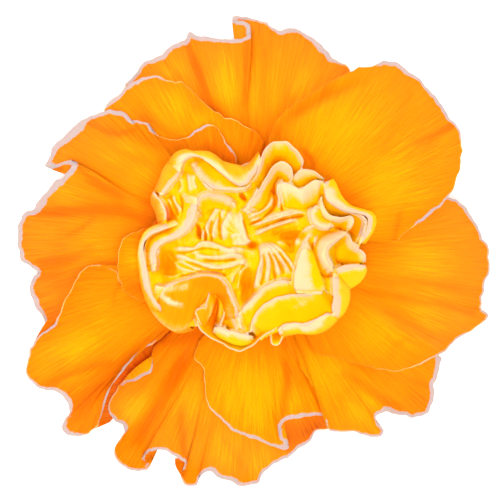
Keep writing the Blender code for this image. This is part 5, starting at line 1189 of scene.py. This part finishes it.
def flap_sheet(layer, droop, edge_lift, inner_lift, edge_tone, inner_tone, margin, edge, inner):
    """A small part of a guard petal that is turned over or lies lower, as a sheet of its own."""
    top, length = smooth_path(edge, FLAP_STEP)
    count = len(top)
    low, _ = smooth_path(inner, count=count)
    share = np.linspace(0, 1, FLAP_ROWS)[:, None]
    plan = low + share[..., None] * (top - low)
    lift = inner_lift + (edge_lift - inner_lift) * share
    z = guard_height(np.linalg.norm(plan, axis=2), layer, droop) + lift
    lower = np.concatenate([plan, np.maximum(z, FLAP_LOWEST)[..., None]], axis=2)
    rim = np.linalg.norm(plan - top, axis=2)
    across = np.broadcast_to(np.linspace(0, length, count), rim.shape)
    # Low tones on a part that lies lower are painted shade
    tone = np.broadcast_to(inner_tone + (edge_tone - inner_tone) * share, rim.shape)
    place = np.stack([across, FLAP_END - rim, rim], axis=2)
    paint = np.stack([tone, np.zeros(rim.shape), np.full(rim.shape, float(margin))], axis=2)
    return lower + [0, 0, FLAP_BLADE], lower, place, paint


def creased(blade, creases):
    """Presses creases into a blade, and gives how deep in them each of its points lies."""
    depths = np.zeros(blade.shape[:2])
    for depth, width, line in creases:
        away, share, _ = distance_to_line(blade[..., :2], line)
        fade = smoothstep(*CREASE_START, share) * (1 - CREASE_END_FADE * smoothstep(*CREASE_END, share))
        blade[..., 2] -= depth * soft_mark(away, width) * np.where(away < 4 * width, fade, 0)
        depths += min(depth, DARKEST_DEPTH) * soft_mark(away, width * CREASE_SHADE_WIDTH) * fade
    return depths


def lay(blade, ground):
    """Lifts a blade to clear what lies below it, without a kink."""
    floor = ground.under(blade)
    z = blade[..., 2]
    for _ in range(LAY_ROUNDS):
        z += spread(np.maximum(floor + LAY_GAP - z, 0))
        z[:] = np.maximum(eased(z, LAY_EASING), floor + LEAST_LAY_GAP)
    z[:] = np.maximum(z, LOWEST)


def guard_paint(name, own_tone, at, lower, rim, depths, draw):
    """A guard petal's tone, with painted light in its lit patches and painted shade round the heart,
    in its creases, near its edge and along its shade lines, and the width of its pale margin.
    """
    # Painted light in the lit patches
    painted_light = np.zeros(rim.shape)
    for x, y, reach in LIT_PATCHES[name]:
        painted_light = np.maximum(painted_light, soft_mark(np.linalg.norm(lower[..., :2] - (x, y), axis=2), reach))
    r = np.linalg.norm(lower[..., :2], axis=2)
    # Painted shade round the heart, in the creases, near the edge and along the shade lines
    tone = own_tone + LIT_PATCH_TONE * painted_light - THROAT_SHADE * smoothstep(THROAT_SHADE_R, THROAT_DARK_R, r)
    tone[len(CLAW_ROWS):] -= CREASE_SHADE * np.clip(depths, BRIGHTEST_DEPTH, DARKEST_DEPTH)
    tone -= EDGE_SHADE * (1 - smoothstep(0, EDGE_SHADE_RUN, rim))
    for strength, width, line in SHADES[name]:
        tone -= strength * soft_mark(distance_to_line(lower[..., :2], line)[0], width)
    margin = set_along(lower[-1], MARGINS[name])[:, 0] * (1 + waves(at, MARGIN_WAVER, draw))
    margin = np.maximum(np.broadcast_to(margin, rim.shape), 0)
    return np.stack([tone, np.zeros(rim.shape), margin], axis=2)


def guard_claw(out, fan, top_z):
    """The rows of a guard petal's narrow claw, from its foot in the calyx up to its neck."""
    foot_plan = out * (CLAW_R - CLAW_LEAN) + fan * CLAW_FOOT_SHARE
    foot = np.column_stack([foot_plan, np.full(len(fan), CLAW_FOOT_Z)])
    neck = np.column_stack([out * CLAW_R + fan, np.full(len(fan), top_z)])
    return np.array([foot + u * (neck - foot) for u in CLAW_ROWS])


def guard_blade(name, neck, edge, at, draw):
    """A guard petal's rows from its neck to its edge, before they are creased and laid down."""
    _, layer, droop, _, _ = GUARDS[name]
    outward = np.gradient(edge[:, :2], axis=0)[:, ::-1] * [1, -1]
    outward /= np.linalg.norm(outward, axis=1, keepdims=True)
    side = np.sign(np.sum(outward * edge[:, :2], axis=1).mean())
    inner = between(*EDGE_ENDS, at / at[-1])
    teeth = waves(at, TEETH, draw) * inner
    soft = soften(edge, SOFT_RUN / COLUMN_STEP)
    soft[[0, -1]] = edge[[0, -1]]
    crinkles = edge - soft
    crinkles[:, :2] += outward * side * (teeth * SERRATION)[:, None]
    frill = waves(at, FRILL, draw) * inner
    rays = waves(at, RAYS, draw)
    bend = set_along(soft, BENDS.get(name, [(0, 0, 0, 0)]))
    blade = np.empty((BLADE_ROWS, len(edge), 3))
    for i, s in enumerate(ROW_SHARES):
        crinkle = smoothstep(CRINKLE_FROM, 1, s)
        plan = neck + s * (soft[:, :2] - neck) + crinkle * crinkles[:, :2] + 2 * s * (1 - s) * bend
        lift = soft[:, 2] * s * s + crinkle ** CRINKLE_POWER * (crinkles[:, 2] + frill)
        lift = lift + rays * smoothstep(*RAYS_RISE, s) * (1 - RAYS_FADE * s)
        height = guard_height(np.linalg.norm(plan, axis=1), layer, droop)
        blade[i] = np.column_stack([plan, height + lift])
    return blade


def edge_distance(blade):
    """How far each point of a blade is, in plan, from the stretch of its edge nearest to it."""
    away = np.empty(blade.shape[:2])
    for j in range(blade.shape[1]):
        near = blade[-1, max(j - MARGIN_REACH, 0):j + MARGIN_REACH + 1, :2]
        away[:, j] = np.linalg.norm(blade[:, j, None, :2] - near, axis=2).min(axis=1)
    return away


def guard_petal(name, ground, draw):
    """One guard petal: its fine outline fanned out from its claw and laid on what is below it."""
    azimuth, layer, droop, own_tone, outline = GUARDS[name]
    edge, length = smooth_path([(*p, 0)[:3] for p in outline], COLUMN_STEP)
    at = np.linspace(0, length, len(edge))
    a = math.radians(azimuth)
    out = np.array([math.cos(a), math.sin(a)])
    across = np.array([-out[1], out[0]])
    turn = np.sign((edge[-1, :2] - edge[0, :2]) @ across)
    fan = (at[:, None] / length - 0.5) * turn * across * CLAW_WIDTH
    claw = guard_claw(out, fan, guard_height(CLAW_R, layer, droop))
    blade = guard_blade(name, claw[-1, :, :2], edge, at, draw)
    depths = creased(blade, CREASES.get(name, []))
    lay(blade, ground)
    run = np.linalg.norm(np.gradient(blade[..., :2], axis=0), axis=2)
    slope = np.gradient(blade[..., 2], axis=0) / np.maximum(run, LEAST_RUN)
    slope = np.clip(slope, -STEEPEST, STEEPEST)
    rim_share = ROW_SHARES[:, None] ** RIM_POWER
    thick = (BLADE * (1 - rim_share) + RIM_BLADE * rim_share) * np.sqrt(1 + slope ** 2)
    lower = np.concatenate([claw, blade])
    upper = lower.copy()
    upper[:len(claw), :, :2] -= out * BLADE
    upper[len(claw):, :, 2] += thick
    ground.add(upper[len(claw):])
    rim = np.concatenate([np.full(claw.shape[:2], FAR), edge_distance(blade)])
    along = np.concatenate([np.zeros(claw.shape[:2]), np.cumsum(run, axis=0)])
    place = np.stack([np.broadcast_to(at, rim.shape), along, rim], axis=2)
    paint = guard_paint(name, own_tone, at, lower, rim, depths, draw)
    flaps = [flap_sheet(layer, droop, *flap) for flap in FLAPS.get(name, [])]
    return blade_mesh(name, [(upper, lower, place, paint)] + flaps)


def dome(r):
    """The height that the heart's standing edges reach, by distance from the axis."""
    return HEART_TOP - HEART_FALL * (np.minimum(r, HEART_END_R) / HEART_R) ** HEART_POWER


def thickened(middle, thickness):
    """The two faces of a sheet, from its middle and the thickness of each of its rows."""
    normal = np.cross(np.gradient(middle, axis=1), np.gradient(middle, axis=0))
    normal /= np.maximum(np.linalg.norm(normal, axis=2, keepdims=True), TINY)
    half = normal * (thickness / 2)[:, None, None]
    return middle + half, middle - half


def streaked(points, tone, cream):
    """Cream streaks, partly the folds' own cream and partly painted light, and darker runs of painted
    shade, laid over a fold's tone and cream.
    """
    for pale, bright, width, line in STREAKS:
        path, _ = smooth_path(line, FINE_STEP)
        away, share, _ = distance_to_line(points[..., :2], path)
        ends = smoothstep(*STREAK_START, share) * (1 - smoothstep(*STREAK_END, share))
        mark = soft_mark(away, width) * ends
        tone = tone + bright * mark
        cream = cream + pale * mark
    return tone, cream


def fold_sheet(spec, draw):
    """One fold of the heart: a thin face from its ruffled edge down to its root. Also the face as
    it would be with raised ends, and the line at which the bed meets its back."""
    lift, drop, bow, tone, cream, blush, edge, foot = spec
    top, length = smooth_path(edge, FOLD_STEP)
    count = len(top)
    low, _ = smooth_path(foot, count=count)
    at = np.linspace(0, length, count)
    inner = between(0, FOLD_END, at / length)
    sink = END_SINK * (1 - inner)
    edge_z = dome(np.linalg.norm(top, axis=1)) + lift - sink + waves(at, FOLD_RUFFLE, draw)
    outward = top - low
    outward /= np.maximum(np.linalg.norm(outward, axis=1, keepdims=True), TINY)
    top = top + outward * waves(at, FOLD_WAVER, draw)[:, None]
    pleat = waves(at, FOLD_PLEATS, draw)
    outer = smoothstep(INNER_FOLD_R, OUTER_FOLD_R, np.linalg.norm(low, axis=1))
    drop = drop * (DROP_SHARE + (1 - DROP_SHARE) * outer)
    middle = []
    for t in np.linspace(0, 1, FACE_ROWS):
        down = t ** (1 + BOW * bow) if bow >= 0 else 1 - (1 - t) ** (1 - BOW * bow)
        z = edge_z - drop * down + pleat * math.sin(math.pi * min(t * PLEAT_FALL, 1))
        middle.append(np.column_stack([top + t * (low - top), z]))
    for t in np.linspace(0, 1, ROOT_ROWS + 1)[1:]:
        middle.append(np.column_stack([low * (1 + t * (ROOT_SHARE - 1)), z - t * ROOT_DEPTH]))
    middle = np.array(middle)
    fullness = smoothstep(0, FOLD_RIM_ROWS, np.arange(len(middle)))
    upper, lower = thickened(middle, FOLD_BLADE * (FOLD_RIM_SHARE + (1 - FOLD_RIM_SHARE) * fullness))
    run = np.linalg.norm(np.diff(middle, axis=0), axis=2)
    rim = np.concatenate([np.zeros((1, count)), np.cumsum(run, axis=0)])
    across = at + draw.random() * VEIN_SHIFT
    place = np.stack([np.broadcast_to(across, rim.shape), rim, rim], axis=2)
    depth = dome(np.linalg.norm(middle[..., :2], axis=2)) - middle[..., 2]
    ends = END_CREAM + (1 - END_CREAM) * inner
    reach = (cream + CREAM_REACH) * np.clip(1 + waves(at, CREAM_WAVER, draw), *CREAM_LIMITS) * ends
    width = blush * np.clip(1 + waves(at, BLUSH_WAVER, draw), *BLUSH_LIMITS)
    # Painted shade on the face, darker the deeper it lies below the dome
    tone = tone + waves(at, TONE_WAVER, draw) - DEPTH_SHADE * smoothstep(SHADE_FROM, SHADE_TO, depth)
    cream = CREAM_SHARE * np.clip(cream / FULL_CREAM, 0, MOST_CREAM) * ends - rim / reach
    cream = np.maximum(cream, LEAST_CREAM)
    tone, cream = streaked(middle, tone, cream)
    paint = np.stack([tone, cream, np.broadcast_to(width, rim.shape)], axis=2)
    back = np.array([np.column_stack([top + outward * d, edge_z - BACK_STEP - BACK_SLOPE * d])
                     for d in BACK_ROWS])
    whole = middle[:FACE_ROWS].copy()
    whole[..., 2] += sink
    return [upper, lower, place, paint], whole, back


def stepped(field, dx, dy):
    return np.roll(np.roll(field, dx, 0), dy, 1)


def neighbours(field):
    """The sum of the four cells beside each cell."""
    return sum(stepped(field, *step) for step in ((1, 0), (-1, 0), (0, 1), (0, -1)))


def relaxed(field, known, rounds):
    """A field whose unknown cells are filled smoothly from the known ones round them."""
    wide = np.where(known, field, 0.0)
    seen = known.astype(float)
    for _ in range(FILL_ROUNDS):
        weight = neighbours(seen)
        fresh = (seen == 0) & (weight > 0)
        wide = np.where(fresh, neighbours(wide * seen) / np.maximum(weight, 1), wide)
        seen = np.where(fresh, 1.0, seen)
    for _ in range(rounds):
        wide = np.where(known, wide, neighbours(wide) / 4)
    return wide


def steps_from(mask, most):
    """How many cells each cell is away from a mask."""
    away = np.where(mask, 0.0, float(most))
    reached = mask.copy()
    for k in range(1, most):
        grown = reached | stepped(reached, 1, 0) | stepped(reached, -1, 0)
        reached = grown | stepped(reached, 0, 1) | stepped(reached, 0, -1)
        away = np.where(reached & (away == most), k, away)
    return away


def bed_pleats(height, x, y, free):
    """The bed with its hollows, pleats and cracks in its free cells. Also how deep the hollows and
    the cracks are, and how cream the pleats' edges."""
    plan = np.stack([x, y], axis=2)
    hollow = np.zeros_like(height)
    for cx, cy, rx, ry, deep in HOLLOWS:
        hollow = hollow + deep * np.exp(-((x - cx) / rx) ** 2 - ((y - cy) / ry) ** 2)
    height = height - hollow * free
    cream = np.zeros_like(height)
    for high, wide, pale, line in RIDGES:
        away, share, hand = distance_to_line(plan, smooth_path(line, RIDGE_STEP)[0])
        ends = between(0, RIDGE_END, share)
        reach = np.where(hand * wide > 0, abs(wide), RIDGE_BACK)
        height = height + high * np.exp(-away / reach) * ends * free
        cream = np.maximum(cream, pale * soft_mark(away, RIDGE_CREAM * reach) * ends)
    crack = np.zeros_like(height)
    for deep, wide, line in CRACKS:
        away, share, _ = distance_to_line(plan, smooth_path(line, FINE_STEP)[0])
        mark = np.exp(-(away / wide) ** CRACK_POWER) * smoothstep(*CRACK_START, share)
        crack = np.maximum(crack, deep * mark)
    return height - crack * free, hollow, cream, crack


def crumpled(x, y, draw):
    """The bed's small waves, and its fine rays round the axis."""
    crumple = sum(a * np.sin(x * math.cos(t) * f + y * math.sin(t) * f + p) for a, t, f, p in zip(
        CRUMPLE_HEIGHTS, draw.random(4) * CRUMPLE_TURN, CRUMPLE_BENDS, draw.random(4) * CRUMPLE_PHASE))
    r = np.hypot(x, y)
    rays = np.sin(BED_RAYS * np.arctan2(y, x) + RAY_SWAY * np.sin(RAY_SWAY_BENDS * r + 1))
    return crumple + BED_RAY_HEIGHT * rays * smoothstep(*BED_RAYS_RISE, r)


def bed_places(x, y):
    """A square grid's plan, stretched to end just inside the farthest places under the folds."""
    farthest = np.zeros(360)
    turns = (np.degrees(np.arctan2(y, x)) % 360).astype(int)
    np.maximum.at(farthest, turns, np.hypot(x, y))
    farthest = soften(np.tile(farthest, 3)[:, None], REACH_SOFTNESS)[360:721, 0] - BED_INSET
    u, v = np.meshgrid(*[np.linspace(-1, 1, BED_SIDE)] * 2, indexing="ij")
    angle = np.arctan2(v, u)
    reach = np.maximum(np.abs(u), np.abs(v)) * np.interp(np.degrees(angle) % 360, np.arange(361), farthest)
    return reach * np.cos(angle), reach * np.sin(angle)


def heart_bed(faces, backs, tones, draw):
    """The crumpled flesh between the folds: it leaves each fold's back just below the edge, sags,
    and runs on to the foot of the next fold's face. Also the relief of the heart's top."""
    half = int(BED_HALF / BED_CELL)
    raster = Ground(BED_CELL, half)
    side = 2 * half + 1
    tone = np.zeros((side, side))
    for face, own_tone in zip(faces, tones):
        tone[raster.add(face)] = own_tone
    covered = raster.top > 0
    behind = Ground(BED_CELL, half)
    for back in backs:
        behind.add(back)
    edge = (behind.top > 0) & ~covered
    height = np.where(covered, raster.top - BED_STEP, np.where(edge, behind.top, 0))
    height = relaxed(height, covered | edge, HEIGHT_ROUNDS)
    tone = relaxed(tone, covered, TONE_ROUNDS)
    away = steps_from(covered, AWAY_CELLS) * BED_CELL
    from_edge = steps_from(edge, EDGE_CELLS) * BED_CELL
    height = height - SAG * (1 - np.exp(-away / SAG_RUN)) * ~(covered | edge)
    x, y = np.meshgrid(*[(np.arange(side) - half) * BED_CELL] * 2, indexing="ij")
    height, hollow, cream, crack = bed_pleats(height, x, y, ~covered)
    height = height + crumpled(x, y, draw) * np.clip(away, 0, 1)
    surface = np.maximum(height, raster.top)
    blurred = surface.copy()
    for _ in range(BLUR_ROUNDS):
        blurred = (blurred * 2 + neighbours(blurred)) / 6
    relief = np.clip(surface - blurred, *RELIEF_LIMITS)
    px, py = bed_places(x[covered], y[covered])

    def sample(field):
        fx, fy = px / BED_CELL + half, py / BED_CELL + half
        i, j = fx.astype(int), fy.astype(int)
        a, b = fx - i, fy - j
        return ((1 - a) * (1 - b) * field[i, j] + a * (1 - b) * field[i + 1, j]
                + (1 - a) * b * field[i, j + 1] + a * b * field[i + 1, j + 1])

    upper = np.stack([px, py, sample(height)], axis=2)
    place = np.stack([px * BED_GRAIN, py * BED_GRAIN, sample(from_edge)], axis=2)
    low = np.clip(sample(hollow), 0, DEEPEST_HOLLOW)
    forms = np.stack([sample(relief), low, sample(crack)], axis=2)
    # Painted light on swellings, painted shade in hollows and cracks
    tone = np.maximum(sample(tone), BED_TONE) + forms @ FORM_LIGHT_AND_SHADE
    cream = BED_CREAM + RIDGE_CREAM_SHARE * sample(cream) + forms @ FORM_CREAM_LIGHT_AND_SHADE
    paint = np.stack([tone, cream, np.full(px.shape, NO_RIM)], axis=2)
    return (upper, upper - [0, 0, FOLD_BLADE], place, paint), relief


def ring_tree(name):
    """Geometry nodes that set copies of a blade round the axis, each a little different."""
    tree, given, out = new_group(name, "GeometryNodeTree", [
        ("Geometry", "NodeSocketGeometry", None), ("Count", "NodeSocketInt", 5),
        ("First Turn", "NodeSocketFloat", 0.0), ("Turn Jitter", "NodeSocketFloat", 0.0),
        ("Lean Jitter", "NodeSocketFloat", 0.0), ("Size Jitter", "NodeSocketFloat", 0.0),
        ("Seed", "NodeSocketInt", 1), ("Finish", "NodeSocketMaterial", None)],
        [("Geometry", "NodeSocketGeometry")])

    def jitter(label, seed_shift):
        """A random value for each copy, as far either way as the named input says."""
        most = given.outputs[label]
        seed = math_node(tree, "ADD", given.outputs["Seed"], float(seed_shift))
        made = node(tree, "FunctionNodeRandomValue", data_type="FLOAT")
        for key, value in (("Min", math_node(tree, "MULTIPLY", most, -1.0)), ("Max", most), ("Seed", seed)):
            tree.links.new(value, next(s for s in made.inputs if s.name == key and s.enabled))
        return next(s for s in made.outputs if s.enabled)

    points = node(tree, "GeometryNodePoints", {"Count": given.outputs["Count"]})
    index = tree.nodes.new("GeometryNodeInputIndex")
    share = math_node(tree, "DIVIDE", index.outputs[0], given.outputs["Count"])
    turn = math_node(tree, "MULTIPLY_ADD", share, 2 * math.pi, given.outputs["First Turn"])
    turn = math_node(tree, "ADD", turn, jitter("Turn Jitter", 0))
    rotation = node(tree, "ShaderNodeCombineXYZ", {1: jitter("Lean Jitter", 3), 2: turn})
    scale = math_node(tree, "ADD", jitter("Size Jitter", 7), 1.0)
    copies = node(tree, "GeometryNodeInstanceOnPoints", {
        "Points": points.outputs[0], "Instance": given.outputs["Geometry"],
        "Rotation": rotation.outputs[0], "Scale": scale})
    real = node(tree, "GeometryNodeRealizeInstances", {"Geometry": copies.outputs[0]})
    finish = node(tree, "GeometryNodeSetMaterial", {"Geometry": real.outputs[0],
                                                    "Material": given.outputs["Finish"]})
    tree.links.new(finish.outputs[0], out.inputs[0])
    return tree


def ring_of(name, blade, tree, material, **sizes):
    """The mesh that the ring tree makes of a blade."""
    obj = bpy.data.objects.new(name, blade)
    bpy.context.scene.collection.objects.link(obj)
    ring = obj.modifiers.new("ring", "NODES")
    ring.node_group = tree
    named = {s.name: s.identifier for s in tree.interface.items_tree if s.in_out == "INPUT"}
    for key, value in sizes.items():
        ring[named[key.replace("_", " ").title()]] = value
    ring[named["Finish"]] = material
    graph = bpy.context.evaluated_depsgraph_get()
    mesh = bpy.data.meshes.new_from_object(obj.evaluated_get(graph), preserve_all_data_layers=True,
                                           depsgraph=graph)
    obj.modifiers.remove(ring)
    bpy.data.objects.remove(obj)
    mesh.shade_smooth()
    return mesh


def turned(radius, turns, z):
    """A ring of points round the axis, all at one height."""
    return np.column_stack([radius * np.cos(turns), radius * np.sin(turns), np.full(len(turns), z)])


def turned_grid(profile, half_turn, columns, wave=None):
    """A grid that runs up a profile of (radius, height) and across half a turn each way of +X."""
    path, _ = smooth_path(profile, LEAF_STEP)
    u = np.linspace(-1, 1, columns)
    shares = np.arange(len(path)) / (len(path) - 1)
    return np.array([turned(r + (wave(u, v) if wave else 0), u * half_turn(v), z)
                     for (r, z), v in zip(path, shares)])


def blade_of(name, grid, thickness, *paint):
    """A thin blade from a grid whose last row is its cut edge, and its tone, cream and rim width."""
    upper, lower = thickened(grid, np.full(len(grid), thickness))
    away = np.linalg.norm(grid[:, :, None] - grid[None, -1, None], axis=3).min(axis=2)
    run = np.cumsum(np.linalg.norm(np.gradient(grid, axis=0), axis=2), axis=0)
    width = np.linalg.norm(np.gradient(grid, axis=1), axis=2).max(axis=0).cumsum()
    place = np.stack([np.broadcast_to(width, run.shape), run, away], axis=2)
    return blade_mesh(name, [(upper, lower, place, np.broadcast_to(paint, (*run.shape, 3)))])


def laid_on(mesh, ground, gap):
    """Raises a mesh's points to clear what lies below them."""
    co = np.empty(len(mesh.vertices) * 3, np.float32)
    mesh.vertices.foreach_get("co", co)
    p = co.reshape(-1, 3).astype(float) / MM
    r = np.linalg.norm(p[:, :2], axis=1)
    floor = np.where(r > THROAT_R, ground.under(p) + gap, NOTHING)
    p[:, 2] += np.maximum(floor - p[:, 2], 0)
    mesh.vertices.foreach_set("co", (p * MM).astype(np.float32).reshape(-1))


def make_heart(ground, ring, skin):
    draw = np.random.default_rng(11)
    sheets, faces, backs = zip(*[fold_sheet(spec, draw) for spec in FOLDS.values()])
    bed, relief = heart_bed(faces, backs, [spec[3] for spec in FOLDS.values()], draw)
    half = len(relief) // 2
    for upper, _, _, paint in sheets:
        i, j = (np.clip(np.rint(upper[:FACE_ROWS, :, k] / BED_CELL).astype(int) + half, 0, 2 * half)
                for k in (0, 1))
        # Painted light where a face stands above the heart's blurred top, painted shade where it lies below
        relief_light = np.maximum(relief[i, j], DEEPEST_RELIEF)
        for k, (always, share) in enumerate(FOLD_RELIEF_LIGHT_AND_SHADE):
            paint[:FACE_ROWS, :, k] += always + share * relief_light
    show("heart_folds", blade_mesh("heart_folds", sheets), skin, "inner_petal", "inner_petals")
    show("heart_bed", blade_mesh("heart_bed", [bed]), skin, "inner_petal")
    profile = [(3.3, CLAW_FOOT_Z + 0.3), (3.5, 15), (3.9, 21), (5.4, 25.2), (9, 28.4), (11.6, 30.4),
               (13, 32.2), (13.6, 33.6)]

    def reach(v):
        return SKIRT_HALF_TURN + SKIRT_WIDENING * v ** 1.2

    def wave(u, v):
        return SKIRT_RUFFLE * v ** 3 * np.sin(7 * u + 1) - SKIRT_CORNERS * v ** 2 * u * u

    blade = blade_of("under_petal", turned_grid(profile, reach, 40, wave), SKIRT_BLADE, 0.2, 0.5, 0.5)
    under = ring_of("heart_underside", blade, ring, skin, count=13, turn_jitter=0.1, lean_jitter=0.05,
                    size_jitter=0.02, seed=4)
    laid_on(under, ground, SKIRT_GAP)
    show("heart_underside", under, skin, "inner_petal")


def make_calyx(ring, skin, pale):
    def ribs(u, v):
        return RIB_HEIGHT * np.cos(u * RIBS * math.pi / 2) * min(v * 6, 1)

    def tooth(v):
        return (math.pi / SEPALS + SEPAL_OVERLAP) * (1 - smoothstep(TOOTH_FROM, 1, v) * TOOTH_CUT)

    profile = [(3.6, 3.4), (6.1, 5.9), (6.5, 9.4), (6.75, 13), (6.9, 16.8), (7.8, 20.7)]
    sepal = blade_of("sepal", turned_grid(profile, tooth, 34, ribs), SEPAL_BLADE, 0.2, 0, 0.25)
    show("calyx_sepals", ring_of("calyx", sepal, ring, skin, count=SEPALS), skin, "green", "calyx")

    def scale_reach(v):
        taper = max(v - BRACT_TAPER_FROM, 0) ** 2 / BRACT_TAPER
        return BRACT_HALF_TURN * math.sqrt(max(1 - taper, LEAST_TAPER))

    profile = [(3.0, 1.3), (4.4, 2.6), (7.2, 5.6), (7.65, 8.6), (7.75, 11)]
    scale = blade_of("bract_scale", turned_grid(profile, scale_reach, 30), BRACT_BLADE, 0.25, 0, 0.3)
    show("bract_scales", ring_of("bracts", scale, ring, pale, count=4, first_turn=0.4), pale,
         "pale_green", "bracts")


def turned_mesh(name, profile, sides, tone, ridge):
    """A closed turned body with faint ridges along it."""
    path, _ = smooth_path(profile, TURNED_STEP)
    turns = np.arange(sides) * 2 * math.pi / sides
    ridges = 1 + ridge * np.cos(turns * STEM_RIDGES)
    caps = [[[0, 0, z]] for z in path[[0, -1], 1]]
    points = np.vstack([turned(r * ridges, turns, z) for r, z in path] + caps)
    place = np.column_stack([np.tile(turns * 6, len(path)), points[:-2, 2], np.full(len(points) - 2, FAR)])
    place = np.vstack([place] + [[0, 0, FAR]] * 2)
    top = (len(path) - 1) * sides
    faces = []
    for j in range(sides):
        n = (j + 1) % sides
        faces += [(i + j, i + n, i + sides + n, i + sides + j) for i in range(0, top, sides)]
        faces += [(top + sides, n, j), (top + sides + 1, top + j, top + n)]
    mesh = painted_mesh(name, points, faces, place, np.broadcast_to([tone, 0, NO_RIM], points.shape))
    mesh.shade_smooth()
    mesh.set_sharp_from_angle(angle=math.radians(50))
    return mesh


def make_stem_and_pistil(skin, pale):
    stem = [(2.45, 0), (2.6, 0.2), (2.6, 1.6), (2.6, 3), (2.9, 3.8), (4.2, 5.1), (5.2, 6.4), (5.3, 7.4),
            (5.1, 8.3)]
    show("stem_stub", turned_mesh("stem_stub", stem, 48, 0.15, 0.012), skin, "green", "stem")
    ovary = [(0.6, 8.6), (1.8, 8.8), (2.4, 10.6), (2.2, 13), (1.1, 15), (0.6, 16.4), (0.3, 16.8)]
    show("pistil_ovary", turned_mesh("pistil_ovary", ovary, 32, 0.4, 0.02), pale, "pale_green", "pistil")


def make_stage():
    """A pale floor under the flower, an even sky and two soft suns."""
    corners = [(x * FLOOR_HALF, y * FLOOR_HALF, 0) for x, y in ((-1, -1), (1, -1), (1, 1), (-1, 1))]
    floor_mesh = bpy.data.meshes.new("floor")
    floor_mesh.from_pydata(corners, [], [(0, 1, 2, 3)])
    floor = bpy.data.objects.new("floor", floor_mesh)
    floor.location.z = FLOOR_Z
    bpy.context.scene.collection.objects.link(floor)
    material = bpy.data.materials.new("pale_floor")
    material.use_nodes = True
    shader = material.node_tree.nodes["Principled BSDF"]
    shader.inputs["Base Color"].default_value = colour(90, 90, 90)
    shader.inputs["Roughness"].default_value = 0.9
    shader.inputs["Emission Color"].default_value = colour(100, 100, 100)
    shader.inputs["Emission Strength"].default_value = FLOOR_GLOW
    floor_mesh.materials.append(material)
    world = bpy.data.worlds.new("studio")
    world.use_nodes = True
    world.node_tree.nodes["Background"].inputs["Color"].default_value = colour(100, 100, 100)
    world.node_tree.nodes["Background"].inputs["Strength"].default_value = SKY_STRENGTH
    bpy.context.scene.world = world
    for name, azimuth, elevation, strength, softness in SUNS:
        light = bpy.data.lights.new(name, "SUN")
        light.energy = strength
        light.angle = math.radians(softness)
        lamp = bpy.data.objects.new(name, light)
        lamp.rotation_euler = (0, math.radians(90 - elevation), math.radians(azimuth))
        bpy.context.scene.collection.objects.link(lamp)
    bpy.context.scene.view_settings.view_transform = "Standard"


def make_camera():
    """Straight above, framing 89.7 mm of the flower's middle height, as in the photograph."""
    centre, middle_z, distance, framed = -0.36 * MM, 0.014, 3.0, 0.0897
    camera = bpy.data.cameras.new("camera")
    camera.sensor_width = 36.0
    camera.lens = camera.sensor_width * distance / framed
    holder = bpy.data.objects.new("camera", camera)
    holder.location = (centre, centre, middle_z + distance)
    bpy.context.scene.collection.objects.link(holder)
    bpy.context.scene.camera = holder


VEINS = make_vein_group()
MARGIN = make_margin_group()
GRAIN = make_grain_group()

make_stage()
make_camera()
orange_skin = make_guard_material()
yellow_skin = make_heart_material()
green_skin = make_green_material("sepal_green", SEPAL_GREENS, 0.5)
pale_green_skin = make_green_material("bract_green", BRACT_GREENS, 0.55)
ring_nodes = ring_tree("ring_of_blades")
ground = Ground(GROUND_CELL, GROUND_HALF)
for number, guard in enumerate(GUARDS):
    show(guard + "_blade", guard_petal(guard, ground, np.random.default_rng(number)), orange_skin,
         "guard_petal", guard)
make_heart(ground, ring_nodes, yellow_skin)
make_calyx(ring_nodes, green_skin, pale_green_skin)
make_stem_and_pistil(green_skin, pale_green_skin)
